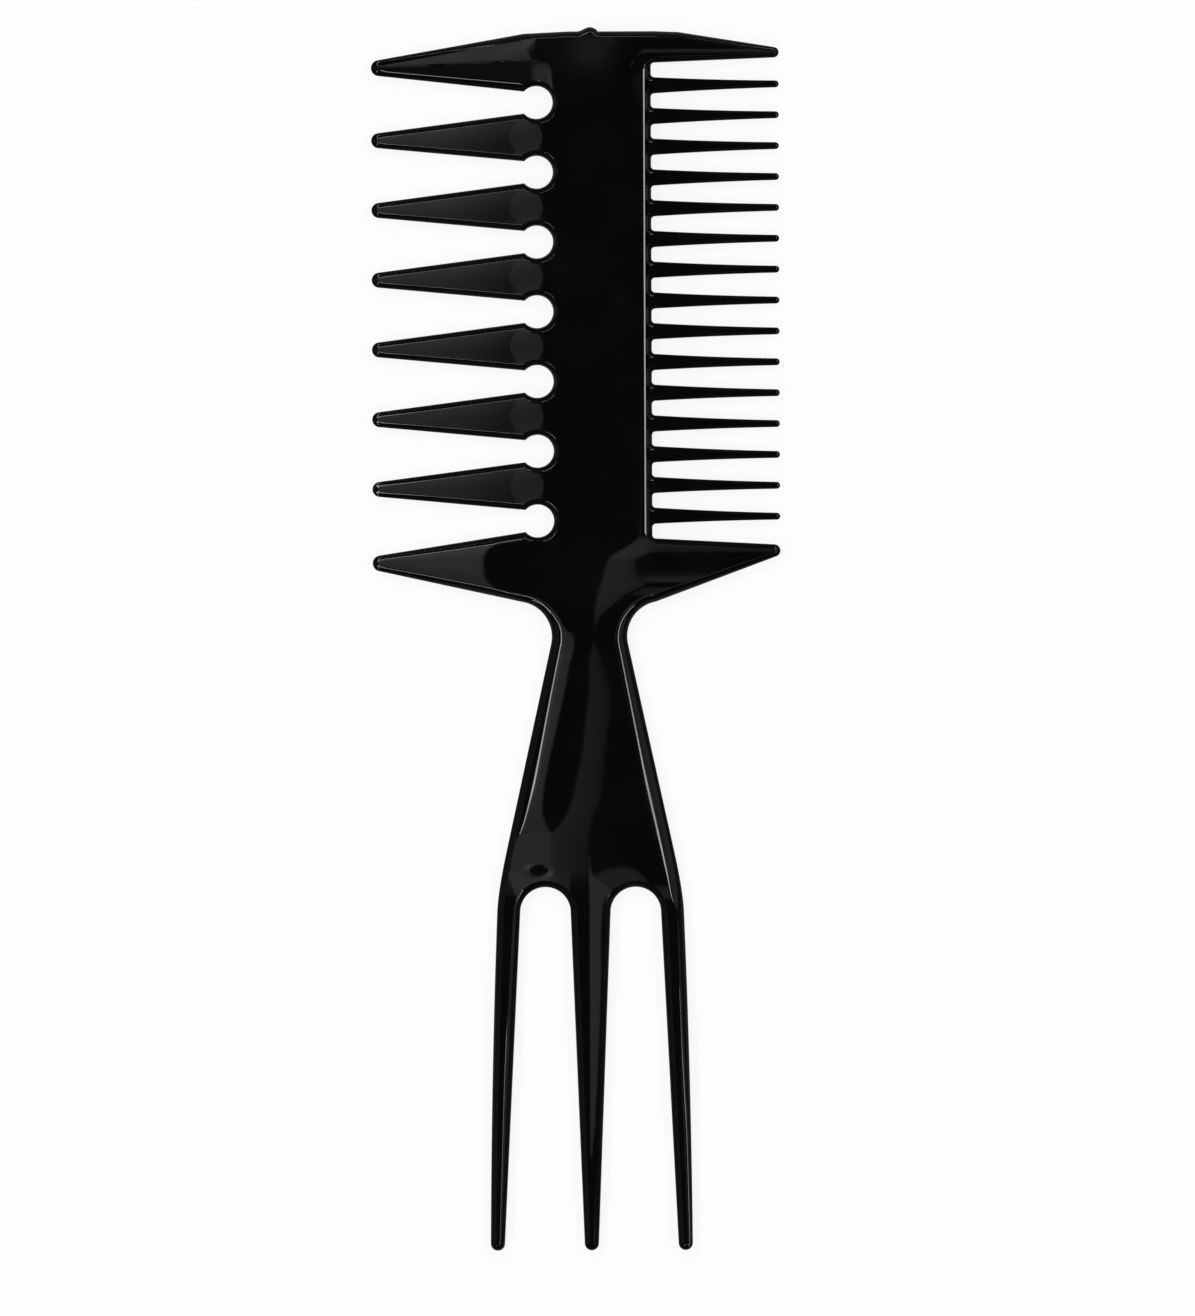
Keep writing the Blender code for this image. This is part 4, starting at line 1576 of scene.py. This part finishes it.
class Sketch:
    """A node tree that is being drawn, with short ways to add and join nodes."""

    def __init__(self, tree: bpy.types.NodeTree) -> None:
        """Start on an existing tree."""
        self.tree = tree

    @classmethod
    def group(cls, name: str, inputs: dict[str, str], outputs: dict[str, str]) -> Sketch:
        """Start a new node group.

        Args:
            name: the group's name.
            inputs: the kind of each named input.
            outputs: the kind of each named output.

        Returns:
            A sketch on the group's tree.
        """
        tree = bpy.data.node_groups.new(name, "ShaderNodeTree")
        for way, sockets in (("INPUT", inputs), ("OUTPUT", outputs)):
            for title, kind in sockets.items():
                tree.interface.new_socket(title, in_out=way, socket_type=kind)
        return cls(tree)

    def feed(self, node: Node, inputs: dict[str | int, object]) -> None:
        """Fill some inputs of a node.

        Args:
            node: the node.
            inputs: what goes into each of them, either a socket or a plain value.
        """
        for name, value in inputs.items():
            if isinstance(value, Socket):
                self.tree.links.new(value, node.inputs[name])
            else:
                node.inputs[name].default_value = value

    def add(self, kind: str, inputs: dict[str | int, object] | None = None, **settings: object) -> Node:
        """Add a node.

        Args:
            kind: the node's kind.
            inputs: what goes into its inputs, each a socket or a plain value.
            settings: its properties.

        Returns:
            The node.
        """
        node = self.tree.nodes.new(kind)
        for name, value in settings.items():
            setattr(node, name, value)
        self.feed(node, inputs or {})
        return node

    def math(self, operation: str, *values: Socket | float) -> Socket:
        """Add a maths node with its inputs and return its result."""
        node = self.add("ShaderNodeMath", dict(enumerate(values)), operation=operation)
        return node.outputs["Value"]

    def step(self, value: Socket, low: float, high: float) -> Socket:
        """Return a smooth step that rises from 0 at low to 1 at high."""
        inputs = {"Value": value, "From Min": low, "From Max": high}
        return self.add("ShaderNodeMapRange", inputs, interpolation_type="SMOOTHSTEP").outputs["Result"]

    def window(self, value: Socket, low: float, high: float, soft: float) -> Socket:
        """Return 1 between two values and 0 beyond them.

        Args:
            value: what is looked at.
            low: where the window starts.
            high: where it ends.
            soft: width of its soft ends.

        Returns:
            The result.
        """
        rising = self.step(value, low - soft / 2, low + soft / 2)
        falling = self.step(value, high + soft / 2, high - soft / 2)
        return self.math("MULTIPLY", rising, falling)

    def length(self, first: Socket, second: Socket) -> Socket:
        """Return the length of a way that is given by its two sides."""
        squares = [self.math("MULTIPLY", side, side) for side in (first, second)]
        return self.math("SQRT", self.math("ADD", *squares))

    def mixed(self, kind: str, mask: Socket, first: Socket, second: object) -> Socket:
        """Mix two values by a mask.

        Args:
            kind: what both are, as the mix node calls it.
            mask: 0 for the first value, 1 for the second.
            first: the first value.
            second: the second value, which is a plain one.

        Returns:
            The result.
        """
        node = self.add("ShaderNodeMix", data_type=kind)
        slots = [number for number, slot in enumerate(node.inputs) if slot.enabled]
        self.feed(node, dict(zip(slots, (mask, first, second))))
        return next(slot for slot in node.outputs if slot.enabled)


@dataclass(frozen=True)
class Lamp:
    """A soft strip lamp overhead, placed by its slant along X and Y and given a strength."""

    left: float
    right: float
    near: float
    far: float
    strength: float
    soft: float

    def lit(self, sketch: Sketch, across: Socket, along: Socket) -> Socket:
        """Draw the lamp's light in the direction looked at.

        Args:
            sketch: the world's nodes.
            across: the direction's slant along X.
            along: its slant along Y.

        Returns:
            The light.
        """
        wide = sketch.window(across, self.left, self.right, self.soft)
        deep = sketch.window(along, self.near, self.far, self.soft)
        return sketch.math("MULTIPLY", sketch.math("MULTIPLY", wide, deep), self.strength)


@dataclass(frozen=True)
class Studio:
    """The soft light round the comb and the white that the camera sees behind it."""

    panel: Lamp = Lamp(-0.55, -0.07, -0.23, 0.55, 1.0, 0.07)
    panel_low: float = 0.5
    panel_rise: tuple[float, float] = (-0.06, 0.14)
    lamps: tuple[Lamp, ...] = (
        Lamp(-0.2, 0.3, 0.07, 0.5, 0.33, 0.07),
        Lamp(-0.04, 0.4, -0.45, -0.12, 0.4, 0.08),
        Lamp(0.16, 0.3, -0.3, 0.02, 0.3, 0.04),
        Lamp(0.7, 1.6, -0.7, 2.2, 0.4, 0.5),
        Lamp(-3.0, -0.9, -0.6, 0.6, 0.13, 0.3),
        Lamp(-0.6, -0.53, -1.3, 2.2, 13.0, 0.03),
        Lamp(0.52, 0.59, -0.7, 2.2, 13.0, 0.03),
        Lamp(-0.8, 0.12, 0.52, 0.6, 12.0, 0.03),
        Lamp(-0.8, 0.12, -0.6, -0.52, 12.0, 0.03),
    )
    horizon: float = 0.1
    horizon_rise: tuple[float, float] = (1.0, 4.0)
    lowest: float = 0.02
    backdrop: float = 1.0

    def build(self) -> None:
        """Fill the world with the light."""
        world = bpy.data.worlds.new("studio_light")
        bpy.context.scene.world = world
        world.use_nodes = True
        world.node_tree.nodes.clear()
        sketch = Sketch(world.node_tree)
        camera = sketch.add("ShaderNodeLightPath").outputs["Is Camera Ray"]
        seen = sketch.mixed("FLOAT", camera, self._light(sketch), self.backdrop)
        background = sketch.add("ShaderNodeBackground", {"Strength": seen})
        sketch.add("ShaderNodeOutputWorld", {"Surface": background.outputs["Background"]})

    def _light(self, sketch: Sketch) -> Socket:
        """Draw the light in the direction looked at.

        Args:
            sketch: the world's nodes.

        Returns:
            The light, which is nought below the floor.
        """
        place = sketch.add("ShaderNodeTexCoord").outputs["Generated"]
        x, y, z = sketch.add("ShaderNodeSeparateXYZ", {"Vector": place}).outputs
        up = sketch.math("MAXIMUM", z, self.lowest)
        across, along = (sketch.math("DIVIDE", side, up) for side in (x, y))
        slant = sketch.math("MAXIMUM", *(sketch.math("ABSOLUTE", side) for side in (across, along)))
        total = sketch.math("MULTIPLY", sketch.step(slant, *self.horizon_rise), self.horizon)
        rise = sketch.math("MULTIPLY", sketch.step(along, *self.panel_rise), 1 - self.panel_low)
        glow = sketch.math("ADD", rise, self.panel_low)
        panel = sketch.math("MULTIPLY", self.panel.lit(sketch, across, along), glow)
        total = sketch.math("ADD", total, panel)
        for lamp in self.lamps:
            total = sketch.math("MAXIMUM", total, lamp.lit(sketch, across, along))
        return sketch.math("MULTIPLY", total, sketch.math("GREATER_THAN", z, 0.0))


@dataclass(frozen=True)
class Floor:
    """The plain white floor under the comb."""

    half_size: float = 2.0
    glow: float = 0.87
    mirrored: float = 0.08
    white: float = 0.16

    def build(self) -> None:
        """Lay the floor and paint it."""
        bm = bmesh.new()
        bmesh.ops.create_grid(bm, x_segments=2, y_segments=2, size=self.half_size)
        mesh = bpy.data.meshes.new("floor")
        bm.to_mesh(mesh)
        bm.free()
        floor = bpy.data.objects.new("floor", mesh)
        bpy.context.scene.collection.objects.link(floor)
        mesh.materials.append(self._paint())

    def _paint(self) -> bpy.types.Material:
        """Mix a white that keeps a soft shadow.

        Returns:
            The material.
        """
        material = bpy.data.materials.new("floor_white")
        material.use_nodes = True
        sketch = Sketch(material.node_tree)
        path = sketch.add("ShaderNodeLightPath").outputs
        mirrored = sketch.math("MULTIPLY", path["Is Glossy Ray"], self.mirrored)
        seen = sketch.math("MAXIMUM", path["Is Camera Ray"], mirrored)
        sketch.feed(material.node_tree.nodes["Principled BSDF"], {
            "Base Color": (self.white, self.white, self.white, 1.0),
            "Roughness": 1.0,
            "Specular IOR Level": 0.0,
            "Emission Color": (1.0, 1.0, 1.0, 1.0),
            "Emission Strength": sketch.math("MULTIPLY", seen, self.glow),
        })
        return material


@dataclass(frozen=True)
class Polish:
    """Finish of the moulding: a glossy black with the mould's fine polishing marks."""

    black: float = 0.0031
    tones: tuple[float, float] = (0.8, 1.2)
    smooth: float = 0.05
    rough: float = 0.1
    clouds: tuple[float, float] = (0.3, 0.7)
    cloud_scale: float = 90.0
    cloud_detail: float = 3.0
    grain_scale: float = 1400.0
    grain_depth: float = 0.01 * MM
    bump: float = 0.04
    mark_out: float = 11.43 * MM
    mark_radius: float = 3.07 * MM
    mark_blur: float = 0.06 * MM
    mark_tone: float = 0.005
    mark_rough: float = 0.2
    hole_blur: float = 0.05 * MM

    def gloss(self) -> bpy.types.NodeTree:
        """Draw the effect that all pieces share, once: cloudy gloss and a very fine grain.

        Returns:
            The group, which gives the colour, the roughness and the normal at a place.
        """
        name = "polished_black"
        if name in bpy.data.node_groups:
            return bpy.data.node_groups[name]
        outputs = {"Colour": COLOUR, "Roughness": NUMBER, "Normal": VECTOR}
        sketch = Sketch.group(name, {"Place": VECTOR}, outputs)
        place = sketch.add("NodeGroupInput").outputs["Place"]
        inputs = {"Vector": place, "Scale": self.cloud_scale, "Detail": self.cloud_detail}
        cloud = sketch.add("ShaderNodeTexNoise", inputs).outputs["Fac"]
        grain = sketch.add("ShaderNodeTexNoise", {"Vector": place, "Scale": self.grain_scale})
        low, high = self.clouds
        rough = sketch.add("ShaderNodeMapRange", {
            "Value": cloud, "From Min": low, "From Max": high,
            "To Min": self.smooth, "To Max": self.rough,
        })
        dark, light = (self.black * tone for tone in self.tones)
        inputs = {"Value": cloud, "To Min": dark, "To Max": light}
        tone = sketch.add("ShaderNodeMapRange", inputs)
        inputs = {
            "Strength": self.bump, "Distance": self.grain_depth, "Height": grain.outputs["Fac"],
        }
        bump = sketch.add("ShaderNodeBump", inputs)
        sketch.add("NodeGroupOutput", {
            "Colour": tone.outputs["Result"],
            "Roughness": rough.outputs["Result"],
            "Normal": bump.outputs["Normal"],
        })
        return sketch.tree

    def marks(self, comb: Comb) -> bpy.types.NodeTree:
        """Draw the effect of the matt discs that the ejector pins left, once.

        Args:
            comb: the comb, which has a disc at the root of each pointed wide tooth.

        Returns:
            The group, which changes the colour and the roughness on a disc.
        """
        name = "ejector_marks"
        if name in bpy.data.node_groups:
            return bpy.data.node_groups[name]
        row, origin, half_pitch = comb.wide, comb.origin, comb.wide.pitch / 2
        looks = {"Colour": COLOUR, "Roughness": NUMBER}
        sketch = Sketch.group(name, {"Place": VECTOR, **looks}, looks)
        start = sketch.add("NodeGroupInput").outputs
        x, y, _ = sketch.add("ShaderNodeSeparateXYZ", {"Vector": start["Place"]}).outputs
        across = sketch.math("ADD", x, self.mark_out - origin.x)
        first = origin.y + row.keyhole(0).y - half_pitch
        down = sketch.math("DIVIDE", sketch.math("SUBTRACT", first, y), row.pitch)
        # The first and the last tooth are guards and have no disc.
        discs = row.count - 2
        nearest = sketch.math("MAXIMUM", sketch.math("ROUND", down), 0.0)
        nearest = sketch.math("MINIMUM", nearest, discs - 1.0)
        along = sketch.math("MULTIPLY", sketch.math("SUBTRACT", down, nearest), row.pitch)
        radius, blur = self.mark_radius, self.mark_blur
        disc = sketch.step(sketch.length(across, along), radius + blur, radius - blur)
        before = sketch.math("ADD", across, row.keyhole_out - self.mark_out)
        beside = sketch.math("SUBTRACT", half_pitch, sketch.math("ABSOLUTE", along))
        radius, blur = row.keyhole_radius + HEAD_EDGE.reach, self.hole_blur
        clear = sketch.step(sketch.length(before, beside), radius - blur, radius + blur)
        mask = sketch.math("MULTIPLY", disc, clear)
        tone = (self.mark_tone, self.mark_tone, self.mark_tone, 1.0)
        sketch.add("NodeGroupOutput", {
            "Colour": sketch.mixed("RGBA", mask, start["Colour"], tone),
            "Roughness": sketch.mixed("FLOAT", mask, start["Roughness"], self.mark_rough),
        })
        return sketch.tree

    def dress(self, piece: bpy.types.Object, comb: Comb, marked: bool) -> None:
        """Give a piece the finish.

        Args:
            piece: the piece's object.
            comb: the comb that it belongs to.
            marked: whether the ejector pins' discs lie on it.
        """
        material = bpy.data.materials.new(piece.name + "_finish")
        material.use_nodes = True
        sketch = Sketch(material.node_tree)
        place = sketch.add("ShaderNodeTexCoord").outputs["Object"]
        plain = sketch.add("ShaderNodeGroup", {"Place": place}, node_tree=self.gloss()).outputs
        finish = plain
        if marked:
            inputs = {"Place": place, "Colour": plain["Colour"], "Roughness": plain["Roughness"]}
            finish = sketch.add("ShaderNodeGroup", inputs, node_tree=self.marks(comb)).outputs
        sketch.feed(material.node_tree.nodes["Principled BSDF"], {
            "Base Color": finish["Colour"],
            "Roughness": finish["Roughness"],
            "Normal": plain["Normal"],
        })
        piece.data.materials.append(material)


@dataclass(frozen=True)
class PhotoCamera:
    """The camera straight above the comb, far off, with the photograph's framing."""

    distance: float = 4.0
    clip_end: float = 12.0
    frame_height: float = 242.96 * MM
    sensor: float = 36.0
    aim_x: float = 3.787 * MM
    aim_y: float = -3.567 * MM
    turn: float = -0.0038

    def build(self) -> None:
        """Set the camera up."""
        data = bpy.data.cameras.new("photo_camera")
        data.sensor_width = self.sensor
        data.sensor_fit = "AUTO"
        data.lens = self.sensor * self.distance / self.frame_height
        data.clip_end = self.clip_end
        camera = bpy.data.objects.new("photo_camera", data)
        camera.location = (self.aim_x, self.aim_y, self.distance)
        camera.rotation_euler = (0.0, 0.0, self.turn)
        bpy.context.scene.collection.objects.link(camera)
        bpy.context.scene.camera = camera


def main() -> None:
    """Build the comb's looks over the fixed frame."""
    logging.basicConfig(level=logging.INFO)
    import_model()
    scene = bpy.context.scene
    scene.view_settings.view_transform = "Standard"
    PhotoCamera().build()
    Studio().build()
    Floor().build()
    comb, polish = Comb(), Polish()
    for region in comb.regions():
        pieces = region.build(comb)
        region.dress(pieces, comb, polish)
        for piece in pieces:
            node = piece.name.removesuffix(SKIN)
            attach(piece, BODY)
            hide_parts(node)
            LOG.info("%s: %d faces", piece.name, len(piece.data.polygons))


if __name__ == "__main__":
    main()
